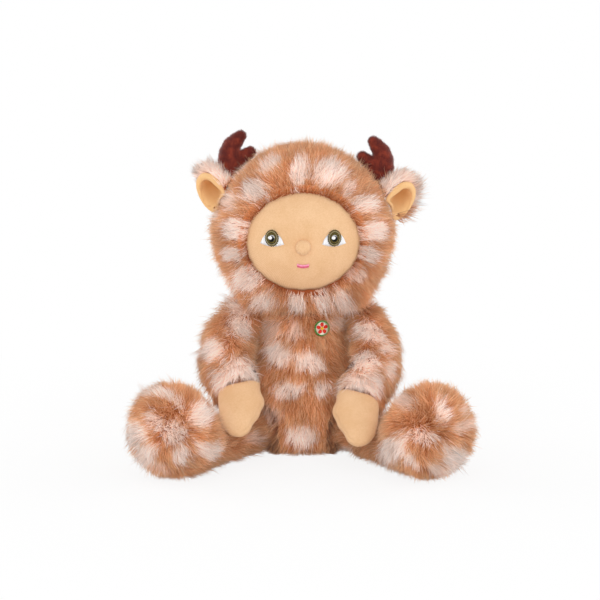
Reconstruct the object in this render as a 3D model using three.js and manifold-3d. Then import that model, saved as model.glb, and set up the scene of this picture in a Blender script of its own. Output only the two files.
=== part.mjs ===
// Seated plush doll in a deer costume: cotton head, face and hands, a long-pile body, hood,
// sleeves and legs, and velour antlers. Millimetres, +Z up. The doll faces -Y and sits on
// z = 0, so +X is its own left. Every soft solid is the outer skin of its fur.

import * as THREE from 'three';
import { mergeVertices } from 'three/addons/utils/BufferGeometryUtils.js';
import Module from 'manifold-3d';

const wasm = await Module();
wasm.setup();

const { degToRad } = THREE.MathUtils;

// Fits that all the pieces share.
const SEAM_GAP = 0.3; // between two pieces that are sewn face to face
const SEAT_CUT = 0.5; // depth to which the floor flattens a stuffed form
const OVERRUN = 4; // how far a cutter passes the face that it cuts
const MERGE_DISTANCE = 0.001; // vertices closer than this are one

// Facets round a form, and from end to end.
const BODY_SIDES = 32;
const BODY_RINGS = 16;
const HEAD_SIDES = 32;
const LIMB_SIDES = 20;
const PUFF_SIDES = 16;
const TRIM_SIDES = 8;
const DOME_RINGS = 4;
const FACING_RINGS = 44;
const SWING_STEPS = 4; // tubes that clear the torso for a swinging leg

const torso = {
  height: 113.5, // from the seat to the neck seam
  halfWidth: 47, // at the belly
  depthShare: 0.86, // front to back, against the width
  // Height share and half-width share, from the seat up.
  profileShares: [
    [0, 0.8], [0.04, 0.9], [0.12, 0.97], [0.25, 1], [0.38, 0.985], [0.5, 0.935], [0.61, 0.87],
    [0.72, 0.805], [0.82, 0.755], [0.9, 0.705], [0.96, 0.65], [1, 0.59],
  ],
};

const neck = {
  radius: 16,
  depth: 6, // below the neck seam, sewn into the torso
  forward: 4, // of the torso's middle
};

const head = {
  halfWidth: 58,
  halfDepth: 54,
  halfHeight: 53,
  middleHeight: 54.3, // above the neck seam
};

// How far the hood's pile stands off the head.
const hoodPile = {
  side: 12,
  back: 7,
  crown: 15.8,
};

const hood = {
  height: head.middleHeight + head.halfHeight + hoodPile.crown, // from the neck seam to the crown
  halfWidth: head.halfWidth + hoodPile.side, // across the cheeks
  halfDepth: head.halfDepth + hoodPile.back,
  collarShare: 0.62, // of the half width, at the neck seam
  // Height share and half-width share, above the collar.
  profileShares: [
    [0.04, 0.715], [0.1, 0.785], [0.18, 0.87], [0.28, 0.94], [0.4, 0.993], [0.5, 0.993],
    [0.6, 0.95], [0.7, 0.868], [0.79, 0.752], [0.87, 0.612], [0.94, 0.42], [0.985, 0.2], [1, 0],
  ],
  askew: degToRad(2.5), // of the ears and antlers, which lean to the doll's left
};

const face = {
  halfWidth: 42, // of the opening that the hood leaves
  halfHeight: 36.8,
  height: -2.4, // of its middle, from the head's
  facingRadius: 2.2, // of the rolled brown edge round it
};

// Heights on the face are measured up from the middle of the head.
const eye = {
  across: 22.7, // from the middle of the face
  height: 2.2,
  irisHalfWidth: 5.3,
  irisHalfHeight: 6.4,
  whiteHalfWidth: 8.4,
  whiteAbove: 2.6, // of the white's top over the iris's middle
  cornerBelow: 4.4,
  whiteBelow: 6.2,
  thickness: 0.5,
};

const mouth = {
  halfWidth: 4.3,
  halfHeight: 1.3,
  height: -18.2,
  thickness: 0.8,
};

const nose = {
  radius: 5.5,
  height: -4,
  depthShare: 0.9, // front to back, against the radius
};

const ear = {
  halfLength: 20,
  halfWidth: 13.5,
  halfThickness: 8,
  proud: 6.3, // of its middle outside the hood
  heightShare: 0.6855, // of the hood's height
  forward: 3, // of the head's middle
  rim: 2.6, // round the lining
  scoopDrop: 1.6, // of the hollow, towards the ear's lower edge
  scoopDepth: 7,
  liningThickness: 1.2,
  tilt: degToRad(56), // of its length above the horizontal
  turn: degToRad(20), // of its front, outwards
};

const antler = {
  height: 31,
  footShare: 0.785, // of the hood's height
  proud: 2, // of its middle outside the hood, at the foot
  back: 8, // of the head's middle
  depthShare: 0.74, // front to back, against the width
  // Shares of the antler's height: up, outwards, and the half width there.
  beamShares: [[-0.25, 0, 0.29], [0, 0, 0.31], [0.16, 0.04, 0.31], [0.33, 0.085, 0.285],
    [0.51, 0.1, 0.245], [0.69, 0.05, 0.2], [0.85, -0.08, 0.15], [0.92, -0.15, 0.12]],
  tineShares: [[0.2, 0, 0.2], [0.3, -0.1, 0.19], [0.42, -0.26, 0.16], [0.53, -0.4, 0.125]],
};

const arm = {
  drop: 20.8, // of the shoulder's middle below the neck seam
  back: -3,
  flatDepth: 0.8, // of the flat on the torso that the arm is sewn to
  flankRadius: 48, // of that flat, which the swinging sleeve needs
  lean: degToRad(11), // of the flat, with the torso's flank
  reach: 50, // from the shoulder to the cuff, forwards
  fall: 37.5, // and down along the flank
  out: 18.5, // of the sleeve's middle from the flat, at the elbow
  halfWidth: 23.5,
  // Shares of the way forward, down and out, and of the half width, from shoulder to cuff.
  pathShares: [
    [0, 0, 0.78, 0.76], [0.2, 0.28, 1, 0.92], [0.5, 0.6, 0.97, 1], [0.78, 0.83, 0.75, 0.94],
    [1, 1, 0.36, 0.79],
  ],
};

const hand = {
  length: 41,
  halfWidth: 18,
  halfThickness: 8.5,
  droop: degToRad(44), // below the horizontal
  turnIn: degToRad(8),
  // Half-width share towards the thumb, and length share from the cuff.
  outlineShares: [
    [0, -0.5], [0.62, -0.42], [0.94, -0.2], [1.02, 0.04], [1.16, 0.2], [1.06, 0.36], [0.8, 0.52],
    [0.62, 0.7], [0.42, 0.88], [0.12, 0.99], [-0.22, 0.98], [-0.46, 0.84], [-0.6, 0.6],
    [-0.74, 0.34], [-0.87, 0.04], [-0.82, -0.3],
  ],
};

const leg = {
  rootRadius: 19,
  footRadius: 36,
  length: 122, // from the middle of the round root to the tip of the sole
  bearing: degToRad(56), // of the root round the torso, from the front
  proud: 3, // of the root's middle outside the torso
  soleDepth: 14,
  swing: degToRad(80), // from sitting down to standing
  // Length share, and share of the way from the root's radius to the foot's.
  profileShares: [[0, 0], [0.2, 0], [0.36, 0.03], [0.44, 0.13], [0.52, 0.37], [0.6, 0.7],
    [0.68, 0.93], [0.75, 1]],
};

const badge = {
  radius: 6,
  thickness: 1,
  across: 14.5, // towards the doll's left
  drop: 15.5, // below the neck seam
};

const tail = {
  halfLength: 16,
  radius: 11,
  height: 36,
  rise: degToRad(40),
};

// The doll sits a little unevenly: its left cuff lies further forward, lower and further in.
const sides = [
  {
    name: 'left',
    sign: 1,
    splay: degToRad(33.5),
    reachShare: 1.14, // of the arm's reach
    fallShare: 1.11, // of its fall
    inShare: 0.43, // of its way out, towards the torso's middle
  },
  { name: 'right', sign: -1, splay: degToRad(36), reachShare: 1, fallShare: 1, inShare: 0 },
];

const finish = {
  fur: { color: 0xcd966e, roughness: 0.95 },
  cotton: { color: 0xf3c89b, roughness: 0.85 },
  facing: { color: 0xbe6e3c, roughness: 0.95 },
  lining: { color: 0xebbe87, roughness: 0.9 },
  velour: { color: 0x6a2418, roughness: 0.9 },
  irisThread: { color: 0x6e6423, roughness: 0.5 },
  whiteThread: { color: 0xebebf0, roughness: 0.5 },
  pinkThread: { color: 0xeb829b, roughness: 0.5 },
  badgeThread: { color: 0xe8b830, roughness: 0.5 },
};

// A solid made of a closed geometry, its shared vertices merged and its faces outward.
function solidOf(geometry) {
  const bare = new THREE.BufferGeometry();
  bare.setAttribute('position', geometry.getAttribute('position').clone());
  bare.setIndex(geometry.index ? geometry.index.clone() : null);
  const merged = mergeVertices(bare, MERGE_DISTANCE);
  const corners = merged.index.array;
  const triangles = [];
  for (let i = 0; i < corners.length; i += 3) {
    const [a, b, c] = corners.slice(i, i + 3);
    if (a !== b && b !== c && c !== a) triangles.push(a, b, c);
  }
  const build = (triVerts) => new wasm.Manifold(new wasm.Mesh({
    numProp: 3,
    vertProperties: new Float32Array(merged.getAttribute('position').array),
    triVerts: new Uint32Array(triVerts),
  }));
  const solid = build(triangles);
  return solid.volume() > 0 ? solid : build(triangles.reverse());
}

function geometryOf(solid) {
  const mesh = solid.getMesh();
  const geometry = new THREE.BufferGeometry();
  geometry.setAttribute('position', new THREE.BufferAttribute(mesh.vertProperties.slice(), 3));
  geometry.setIndex(new THREE.BufferAttribute(mesh.triVerts.slice(), 1));
  geometry.computeVertexNormals();
  return geometry;
}

function addPiece(group, name, solid, look) {
  const mesh = new THREE.Mesh(geometryOf(solid), new THREE.MeshStandardMaterial(look));
  mesh.name = name;
  group.add(mesh);
}

// Round rings joined into one skin. A ring of no radius closes an end.
function loft(rings, ringSides, isLoop = false) {
  const positions = [];
  const index = [];
  const links = isLoop ? rings.length : rings.length - 1;
  rings.forEach(({ middle, across, up, radius }, ring) => {
    for (let side = 0; side < ringSides; side += 1) {
      const angle = (side / ringSides) * 2 * Math.PI;
      const point = middle.clone()
        .addScaledVector(across, radius * Math.cos(angle))
        .addScaledVector(up, radius * Math.sin(angle));
      positions.push(point.x, point.y, point.z);
      if (ring >= links) continue;
      const next = ((ring + 1) % rings.length) * ringSides;
      const here = ring * ringSides;
      const beside = (side + 1) % ringSides;
      index.push(here + side, here + beside, next + beside);
      index.push(here + side, next + beside, next + side);
    }
  });
  const geometry = new THREE.BufferGeometry();
  geometry.setAttribute('position', new THREE.Float32BufferAttribute(positions, 3));
  geometry.setIndex(index);
  return geometry;
}

// The rings that round off a ring's end, from its pole inwards. The axis points out of the end.
function domeRings(ring, axis, depth) {
  return Array.from({ length: DOME_RINGS }, (_, step) => {
    const angle = (step / DOME_RINGS) * (Math.PI / 2);
    return {
      ...ring,
      middle: ring.middle.clone().addScaledVector(axis, depth * Math.cos(angle)),
      radius: ring.radius * Math.sin(angle),
    };
  });
}

// A stuffed tube through places that have a middle and a radius, in the plane square to `level`.
function stuffedTube(places, level, isRoundStart, isRoundEnd, depthShare = 1) {
  const rings = places.map(({ middle, radius }, i) => {
    const before = places[Math.max(i - 1, 0)].middle;
    const after = places[Math.min(i + 1, places.length - 1)].middle;
    const along = after.clone().sub(before).normalize();
    const up = along.clone().cross(level).normalize();
    return { middle, radius, along, up, across: up.clone().cross(along).multiplyScalar(depthShare) };
  });
  const first = rings[0];
  const last = rings[rings.length - 1];
  const start = isRoundStart
    ? domeRings(first, first.along.clone().negate(), first.radius)
    : [{ ...first, radius: 0 }];
  const end = isRoundEnd
    ? domeRings(last, last.along, last.radius).reverse()
    : [{ ...last, radius: 0 }];
  return loft([...start, ...rings, ...end], LIMB_SIDES);
}

// A pillow of a closed outline, flat in x and y, swelling to its thickness in z.
function pillow(outline, halfThickness) {
  const geometry = new THREE.SphereGeometry(1, PUFF_SIDES, PUFF_SIDES / 2).rotateX(Math.PI / 2);
  const position = geometry.getAttribute('position');
  const curve = new THREE.CatmullRomCurve3(
    outline.map(([x, y]) => new THREE.Vector3(x, y, 0)),
    true,
  );
  const middle = outline.reduce(
    (sum, [x, y]) => sum.add(new THREE.Vector3(x / outline.length, y / outline.length, 0)),
    new THREE.Vector3(),
  );
  for (let i = 0; i < position.count; i += 1) {
    const [x, y, z] = [position.getX(i), position.getY(i), position.getZ(i)];
    const turn = Math.atan2(y, x) / (2 * Math.PI);
    const share = Math.hypot(x, y);
    const edge = curve.getPoint((turn + 1) % 1);
    const point = middle.clone().lerp(edge, share);
    position.setXYZ(i, point.x, point.y, z * halfThickness);
  }
  return geometry;
}

function ellipsoid(halfWidth, halfDepth, halfHeight) {
  return new THREE.SphereGeometry(1, HEAD_SIDES, HEAD_SIDES / 2)
    .rotateX(Math.PI / 2)
    .scale(halfWidth, halfDepth, halfHeight);
}

function uprightCylinder(radius, bottom, top) {
  return solidOf(
    new THREE.CylinderGeometry(radius, radius, top - bottom, LIMB_SIDES)
      .rotateX(Math.PI / 2)
      .translate(0, 0, (top + bottom) / 2),
  );
}

// A flat shape in x and z, pushed forwards from y = 0.
function forwardPrism(shape, depth) {
  return new THREE.ExtrudeGeometry(shape, { depth, bevelEnabled: false, curveSegments: TRIM_SIDES })
    .rotateX(Math.PI / 2);
}

function ellipseShape(halfWidth, halfHeight) {
  return new THREE.Shape(
    new THREE.EllipseCurve(0, 0, halfWidth, halfHeight, 0, 2 * Math.PI)
      .getPoints(2 * TRIM_SIDES)
      .slice(1),
  );
}

// Half widths against heights, on one smooth line.
function smoothProfile(points) {
  return new THREE.SplineCurve(points.map(([height, half]) => new THREE.Vector2(half, height)))
    .getPoints(BODY_RINGS);
}

function halfWidthAt(profile, height) {
  const above = profile.findIndex((point) => point.y >= height);
  const [low, high] = [profile[Math.max(above - 1, 0)], profile[above]];
  const share = (height - low.y) / Math.max(high.y - low.y, MERGE_DISTANCE);
  return THREE.MathUtils.lerp(low.x, high.x, THREE.MathUtils.clamp(share, 0, 1));
}

// A revolved stuffed form, narrower from front to back, grown by `offset` all round.
function revolved(profile, depthShare, offset = 0) {
  const last = profile[profile.length - 1];
  const grown = profile.map((point) => new THREE.Vector2(point.x && point.x + offset, point.y));
  const bottom = new THREE.Vector2(0, profile[0].y);
  const closed = last.x > 0 ? [bottom, ...grown, new THREE.Vector2(0, last.y)] : [bottom, ...grown];
  return new THREE.LatheGeometry(closed, BODY_SIDES).rotateX(Math.PI / 2).scale(1, depthShare, 1);
}

const X_AXIS = new THREE.Vector3(1, 0, 0);

const torsoProfile = smoothProfile(
  torso.profileShares.map(([up, out], i) => [
    i ? up * torso.height : -SEAT_CUT,
    out * torso.halfWidth,
  ]),
);

const hoodProfile = smoothProfile([
  [0, hood.collarShare * hood.halfWidth],
  ...hood.profileShares.map(([up, out]) => [up * hood.height, out * hood.halfWidth]),
]);

// The places where the neck, arms and legs join the torso, as frames.
const neckSeat = new THREE.Group();
neckSeat.position.set(0, -neck.forward, torso.height + SEAM_GAP);

function shoulderSeat(side) {
  const height = torso.height - arm.drop;
  const seat = new THREE.Group();
  seat.position.set(side.sign * (halfWidthAt(torsoProfile, height) - arm.flatDepth), arm.back, height);
  seat.rotation.set(0, -side.sign * arm.lean, 0);
  seat.updateMatrix();
  return seat;
}

function hipSeat(side) {
  const height = leg.rootRadius - SEAT_CUT;
  const halfWidth = halfWidthAt(torsoProfile, height);
  const seat = new THREE.Group();
  seat.position.set(
    side.sign * (halfWidth + leg.proud) * Math.sin(leg.bearing),
    -(halfWidth * torso.depthShare + leg.proud) * Math.cos(leg.bearing),
    height,
  );
  seat.rotation.set(0, 0, side.sign * side.splay);
  seat.updateMatrix();
  return seat;
}

// The flank of the torso is flat where a sleeve swings.
function flankCutter(side) {
  const depth = torso.halfWidth;
  return solidOf(
    new THREE.CylinderGeometry(arm.flankRadius, arm.flankRadius, depth, BODY_SIDES)
      .rotateZ(Math.PI / 2)
      .translate((side.sign * depth) / 2, 0, 0)
      .applyMatrix4(shoulderSeat(side).matrix),
  );
}

// What the round root and the thigh take off the torso, as the leg swings down to stand.
function legSwing(side) {
  const radius = (leg.rootRadius + SEAM_GAP) / Math.cos(Math.PI / LIMB_SIDES); // its flats clear too
  const reach = leg.rootRadius + OVERRUN;
  const seat = hipSeat(side).matrix;
  const root = new THREE.SphereGeometry(radius, LIMB_SIDES, LIMB_SIDES / 2).rotateX(Math.PI / 2);
  let swept = solidOf(root.applyMatrix4(seat));
  for (let step = 0; step <= SWING_STEPS; step += 1) {
    const thigh = new THREE.CylinderGeometry(radius, radius, reach, LIMB_SIDES)
      .translate(0, -reach / 2, 0)
      .rotateX((step / SWING_STEPS) * leg.swing)
      .applyMatrix4(seat);
    swept = swept.add(solidOf(thigh));
  }
  return swept;
}

function makeTorso() {
  let body = solidOf(revolved(torsoProfile, torso.depthShare)).trimByPlane([0, 0, 1], 0);
  const neckHole = uprightCylinder(neck.radius + SEAM_GAP, torso.height - neck.depth, torso.height + OVERRUN)
    .translate([0, -neck.forward, 0]);
  body = body.subtract(neckHole);
  for (const side of sides) {
    body = body.subtract(flankCutter(side));
    body = body.subtract(legSwing(side));
  }
  return body;
}

// A sewn patch lies over the torso's skin.
function makeBadge() {
  const outer = solidOf(revolved(torsoProfile, torso.depthShare, SEAM_GAP + badge.thickness));
  const inner = solidOf(revolved(torsoProfile, torso.depthShare, SEAM_GAP));
  const shape = forwardPrism(ellipseShape(badge.radius, badge.radius), torso.halfWidth + OVERRUN)
    .translate(badge.across, 0, torso.height - badge.drop);
  return solidOf(shape).intersect(outer).subtract(inner);
}

function makeTail() {
  const out = new THREE.Vector3(0, Math.cos(tail.rise), Math.sin(tail.rise));
  const root = new THREE.Vector3(
    0,
    halfWidthAt(torsoProfile, tail.height) * torso.depthShare,
    tail.height,
  );
  const geometry = new THREE.SphereGeometry(1, PUFF_SIDES, PUFF_SIDES / 2)
    .rotateX(Math.PI / 2)
    .scale(tail.radius, tail.halfLength, tail.radius)
    .rotateX(tail.rise)
    .translate(root.x + out.x * tail.radius, root.y + out.y * tail.radius, root.z + out.z * tail.radius);
  return solidOf(geometry).subtract(solidOf(revolved(torsoProfile, torso.depthShare, SEAM_GAP)));
}

// The head's pieces share a frame with its origin on the neck seam.
function headSkin(offset) {
  return solidOf(
    ellipsoid(head.halfWidth + offset, head.halfDepth + offset, head.halfHeight + offset)
      .translate(0, 0, head.middleHeight),
  );
}

function headDepthAt(x, height) {
  return head.halfDepth
    * Math.sqrt(1 - (x / head.halfWidth) ** 2 - (height / head.halfHeight) ** 2);
}

function hoodSkin(offset) {
  return solidOf(revolved(hoodProfile, hood.halfDepth / hood.halfWidth, offset));
}

function makeHead() {
  return headSkin(0).add(uprightCylinder(neck.radius, -neck.depth, head.middleHeight));
}

// The rolled edge lies on the head's skin, round the opening.
function facingRings() {
  const { facingRadius } = face;
  return Array.from({ length: FACING_RINGS }, (_, step) => {
    const angle = (step / FACING_RINGS) * 2 * Math.PI;
    const x = (face.halfWidth + facingRadius) * Math.cos(angle);
    const z = face.height + (face.halfHeight + facingRadius) * Math.sin(angle);
    const middle = new THREE.Vector3(x, -headDepthAt(x, z), z);
    const out = new THREE.Vector3(
      middle.x / head.halfWidth ** 2,
      middle.y / head.halfDepth ** 2,
      middle.z / head.halfHeight ** 2,
    ).normalize();
    const along = new THREE.Vector3(
      -face.halfWidth * Math.sin(angle),
      0,
      face.halfHeight * Math.cos(angle),
    );
    middle.addScaledVector(out, facingRadius + SEAM_GAP);
    return { middle, across: out, up: along.cross(out).normalize() };
  });
}

function facingRoll(radius) {
  const rings = facingRings().map((ring) => ({ ...ring, radius }));
  return solidOf(loft(rings, TRIM_SIDES, true).translate(0, 0, head.middleHeight));
}

// The hood is open in front as far as the middle of its rolled edge.
function makeHood() {
  const rim = facingRings().map(({ middle }) => new THREE.Vector2(middle.x, middle.z));
  const opening = forwardPrism(new THREE.Shape(rim), hood.halfWidth + OVERRUN)
    .translate(0, 0, head.middleHeight);
  return hoodSkin(0)
    .subtract(headSkin(SEAM_GAP))
    .subtract(solidOf(opening))
    .subtract(facingRoll(face.facingRadius + SEAM_GAP))
    .subtract(uprightCylinder(neck.radius + SEAM_GAP, -OVERRUN, head.middleHeight));
}

// Needlework is a thin layer that follows the face.
function patch(shape, x, height, lift, thickness) {
  const prism = forwardPrism(shape, head.halfDepth + OVERRUN)
    .translate(x, 0, head.middleHeight + height);
  return solidOf(prism).intersect(headSkin(lift + thickness)).subtract(headSkin(lift));
}

// The white of an eye is a low tent: pointed at both corners, rounded over the top and below.
function eyeWhiteShape() {
  const { whiteHalfWidth: half, whiteAbove: above, cornerBelow, whiteBelow: below } = eye;
  const shape = new THREE.Shape();
  shape.moveTo(-half, -cornerBelow);
  shape.quadraticCurveTo(0, above + (above + cornerBelow), half, -cornerBelow);
  shape.quadraticCurveTo(0, cornerBelow - below - below, -half, -cornerBelow);
  return shape;
}

// The mouth has a dip in its upper edge and a fuller lower one.
function mouthShape() {
  const { halfWidth: half, halfHeight: high } = mouth;
  const shape = new THREE.Shape();
  shape.moveTo(-half, high / 2);
  shape.quadraticCurveTo(-half / 2, 2 * high, 0, high / 2);
  shape.quadraticCurveTo(half / 2, 2 * high, half, high / 2);
  shape.quadraticCurveTo(0, -3 * high, -half, high / 2);
  return shape;
}

function makeNose() {
  const depth = headDepthAt(0, nose.height);
  const geometry = new THREE.SphereGeometry(nose.radius, PUFF_SIDES, PUFF_SIDES / 2)
    .rotateX(Math.PI / 2)
    .scale(1, nose.depthShare, 1)
    .translate(0, -depth, head.middleHeight + nose.height);
  return solidOf(geometry).subtract(headSkin(SEAM_GAP));
}

// The ears and antlers lean together, round the head's middle.
function askew() {
  const lean = new THREE.Matrix4().makeRotationY(hood.askew);
  return lean
    .premultiply(new THREE.Matrix4().makeTranslation(0, 0, head.middleHeight))
    .multiply(new THREE.Matrix4().makeTranslation(0, 0, -head.middleHeight));
}

// An ear is a long pad with a hollow front, which the lining covers.
function earFrame(side) {
  const frame = new THREE.Group();
  const height = ear.heightShare * hood.height;
  const x = halfWidthAt(hoodProfile, height) + ear.proud;
  frame.position.set(side.sign * x, -ear.forward, height);
  frame.rotation.set(0, -side.sign * ear.tilt, side.sign * ear.turn, 'ZYX');
  frame.updateMatrix();
  return frame.matrix.premultiply(askew());
}

function earPad(growth, push) {
  return new THREE.SphereGeometry(1, PUFF_SIDES, PUFF_SIDES / 2)
    .rotateX(Math.PI / 2)
    .scale(ear.halfLength + growth, ear.halfThickness, ear.halfWidth + growth)
    .translate(0, push, 0);
}

function earScoop(growth, push) {
  return earPad(growth - ear.rim, push - ear.halfThickness)
    .scale(1, ear.scoopDepth / ear.halfThickness, 1)
    .translate(0, 0, -ear.scoopDrop);
}

function makeEar(side) {
  const pad = solidOf(earPad(0, 0).applyMatrix4(earFrame(side)));
  const scoop = solidOf(earScoop(0, 0).applyMatrix4(earFrame(side)));
  return pad.subtract(scoop).subtract(hoodSkin(SEAM_GAP));
}

function makeEarLining(side) {
  const outer = solidOf(earScoop(-SEAM_GAP, -SEAM_GAP).applyMatrix4(earFrame(side)));
  const inner = solidOf(earScoop(0, -SEAM_GAP - ear.liningThickness).applyMatrix4(earFrame(side)));
  const pad = solidOf(earPad(0, 0).applyMatrix4(earFrame(side)));
  return outer.subtract(inner).intersect(pad).subtract(hoodSkin(SEAM_GAP));
}

// An antler is one stuffed beam and its tine.
function makeAntler(side) {
  const foot = antler.footShare * hood.height;
  const footX = halfWidthAt(hoodProfile, foot) + antler.proud;
  const placed = (shares) => shares.map(([up, out, wide]) => ({
    middle: new THREE.Vector3(
      side.sign * (footX + out * antler.height),
      antler.back,
      foot + up * antler.height,
    ),
    radius: wide * antler.height,
  }));
  const depth = new THREE.Vector3(0, 1, 0);
  const beam = stuffedTube(placed(antler.beamShares), depth, true, true, antler.depthShare);
  const tine = stuffedTube(placed(antler.tineShares), depth, true, true, antler.depthShare);
  return solidOf(beam.applyMatrix4(askew()))
    .add(solidOf(tine.applyMatrix4(askew())))
    .subtract(hoodSkin(SEAM_GAP));
}

// A sleeve lies against the flank: its frame's x points out of the torso.
function sleevePlaces(side) {
  return arm.pathShares.map(([reach, fall, out, wide]) => ({
    middle: new THREE.Vector3(
      side.sign * (out - reach * side.inShare) * arm.out,
      -reach * side.reachShare * arm.reach,
      -fall * side.fallShare * arm.fall,
    ),
    radius: wide * arm.halfWidth,
  }));
}

function cuffPlane(side) {
  const places = sleevePlaces(side);
  const [before, end] = [places[places.length - 2].middle, places[places.length - 1].middle];
  return { end, out: end.clone().sub(before).normalize() };
}

// What the flank's flat takes off the sleeve, in the sleeve's frame.
function flankPad(side) {
  const depth = torso.halfWidth;
  return solidOf(
    new THREE.CylinderGeometry(arm.flankRadius, arm.flankRadius, depth, BODY_SIDES)
      .rotateZ(Math.PI / 2)
      .translate(side.sign * (SEAM_GAP - depth / 2), 0, 0),
  );
}

function makeArm(side) {
  return solidOf(stuffedTube(sleevePlaces(side), X_AXIS, true, false)).subtract(flankPad(side));
}

function makeHand(side) {
  const { end, out } = cuffPlane(side);
  const along = new THREE.Vector3(
    -side.sign * Math.sin(hand.turnIn) * Math.cos(hand.droop),
    -Math.cos(hand.turnIn) * Math.cos(hand.droop),
    -Math.sin(hand.droop),
  );
  const thumb = new THREE.Vector3(-side.sign, 0, 0);
  thumb.addScaledVector(along, -thumb.dot(along)).normalize();
  const frame = new THREE.Matrix4()
    .makeBasis(thumb, along, thumb.clone().cross(along))
    .setPosition(end);
  const outline = hand.outlineShares.map(([wide, far]) => [wide * hand.halfWidth, far * hand.length]);
  return solidOf(pillow(outline, hand.halfThickness).applyMatrix4(frame))
    .trimByPlane(out.toArray(), end.dot(out) + SEAM_GAP);
}

// A leg lies along its frame's -y, and its underside stays on the floor.
function legPlaces() {
  return leg.profileShares.map(([far, grown]) => {
    const radius = THREE.MathUtils.lerp(leg.rootRadius, leg.footRadius, grown);
    return { middle: new THREE.Vector3(0, -far * leg.length, radius - leg.rootRadius), radius };
  });
}

function legForm() {
  const [across, up] = [new THREE.Vector3(1, 0, 0), new THREE.Vector3(0, 0, 1)];
  const rings = legPlaces().map((place) => ({ ...place, across, up }));
  const [root, foot] = [rings[0], rings[rings.length - 1]];
  const soleReach = leg.length + foot.middle.y;
  return solidOf(loft([
    ...domeRings(root, new THREE.Vector3(0, 1, 0), root.radius),
    ...rings,
    ...domeRings(foot, new THREE.Vector3(0, -1, 0), soleReach).reverse(),
  ], LIMB_SIDES)).trimByPlane([0, 0, 1], SEAT_CUT - leg.rootRadius);
}

function makeLeg() {
  return legForm().trimByPlane([0, 1, 0], leg.soleDepth - leg.length);
}

function makeSole() {
  return legForm().trimByPlane([0, -1, 0], leg.length - leg.soleDepth + SEAM_GAP);
}

const deer = new THREE.Group();

addPiece(deer, 'torso', makeTorso(), finish.fur);
addPiece(deer, 'chest_badge', makeBadge(), finish.badgeThread);
addPiece(deer, 'tail', makeTail(), finish.fur);

deer.add(neckSeat);
addPiece(neckSeat, 'head', makeHead(), finish.cotton);
addPiece(neckSeat, 'hood', makeHood(), finish.fur);
addPiece(neckSeat, 'hood_facing', facingRoll(face.facingRadius), finish.facing);
addPiece(neckSeat, 'nose', makeNose(), finish.cotton);
addPiece(
  neckSeat,
  'mouth',
  patch(mouthShape(), 0, mouth.height, SEAM_GAP, mouth.thickness),
  finish.pinkThread,
);

for (const side of sides) {
  const eyeX = side.sign * eye.across;
  const irisLift = SEAM_GAP + eye.thickness + SEAM_GAP;
  const irisShape = ellipseShape(eye.irisHalfWidth, eye.irisHalfHeight);
  addPiece(
    neckSeat,
    `${side.name}_eye_white`,
    patch(eyeWhiteShape(), eyeX, eye.height, SEAM_GAP, eye.thickness),
    finish.whiteThread,
  );
  addPiece(
    neckSeat,
    `${side.name}_iris`,
    patch(irisShape, eyeX, eye.height, irisLift, eye.thickness),
    finish.irisThread,
  );
  addPiece(neckSeat, `${side.name}_ear`, makeEar(side), finish.fur);
  addPiece(neckSeat, `${side.name}_ear_lining`, makeEarLining(side), finish.lining);
  addPiece(neckSeat, `${side.name}_antler`, makeAntler(side), finish.velour);

  const sleeve = shoulderSeat(side);
  addPiece(sleeve, `${side.name}_arm`, makeArm(side), finish.fur);
  addPiece(sleeve, `${side.name}_hand`, makeHand(side), finish.cotton);
  deer.add(sleeve);

  const limb = hipSeat(side);
  addPiece(limb, `${side.name}_leg`, makeLeg(), finish.fur);
  addPiece(limb, `${side.name}_sole`, makeSole(), finish.fur);
  deer.add(limb);
}

export default deer;
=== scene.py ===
"""Looks of a seated plush doll in a spotted deer costume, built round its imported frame.

Every fur piece has a stuffed backing and a pile of real strands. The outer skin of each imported
solid is where the pile ends, so roots lie below it. Metres, +Z up, and the doll faces -Y.
"""

import logging
import math
from dataclasses import dataclass, field, replace
from enum import Enum
from functools import cache
from typing import Callable, ClassVar, Iterable, Sequence

import bmesh
import bpy
import numpy as np
from mathutils import Matrix, Vector
from mathutils.bvhtree import BVHTree
from mathutils.kdtree import KDTree


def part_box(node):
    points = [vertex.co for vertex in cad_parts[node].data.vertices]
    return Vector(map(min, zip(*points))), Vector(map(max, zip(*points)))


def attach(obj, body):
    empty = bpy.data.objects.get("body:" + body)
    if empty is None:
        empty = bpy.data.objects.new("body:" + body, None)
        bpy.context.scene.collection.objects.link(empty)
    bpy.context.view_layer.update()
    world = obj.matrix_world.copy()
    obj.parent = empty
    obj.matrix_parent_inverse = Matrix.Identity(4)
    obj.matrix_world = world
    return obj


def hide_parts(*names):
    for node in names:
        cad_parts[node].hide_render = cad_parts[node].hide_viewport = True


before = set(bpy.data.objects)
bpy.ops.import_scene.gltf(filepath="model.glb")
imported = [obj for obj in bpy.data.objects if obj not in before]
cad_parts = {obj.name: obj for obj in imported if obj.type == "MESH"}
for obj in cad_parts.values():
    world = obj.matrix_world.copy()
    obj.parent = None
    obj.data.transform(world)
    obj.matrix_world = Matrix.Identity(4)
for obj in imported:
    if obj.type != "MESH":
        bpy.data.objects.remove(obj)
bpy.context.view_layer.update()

LOG = logging.getLogger("deer")

MM = 0.001
FULL_TURN = 2 * math.pi
TINY = 1e-9
WELD = 0.002 * MM  # Corners of packed triangles that are nearer than this are one.
SHARP_TURN = math.cos(math.radians(50))  # Faces that turn more than this meet in an edge.
FLOOR_CLEARANCE = 0.4 * MM  # The lowest that any fur or its backing reaches.
BACKING_GAP = 0.3 * MM  # How far the backing lies under the roots.
BAKE_MAP = "OFBake"

Field = Callable[[np.ndarray, np.ndarray], np.ndarray]  # Takes points and their normals.
Colour = tuple[float, float, float]


# ---- Small helpers ----


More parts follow.
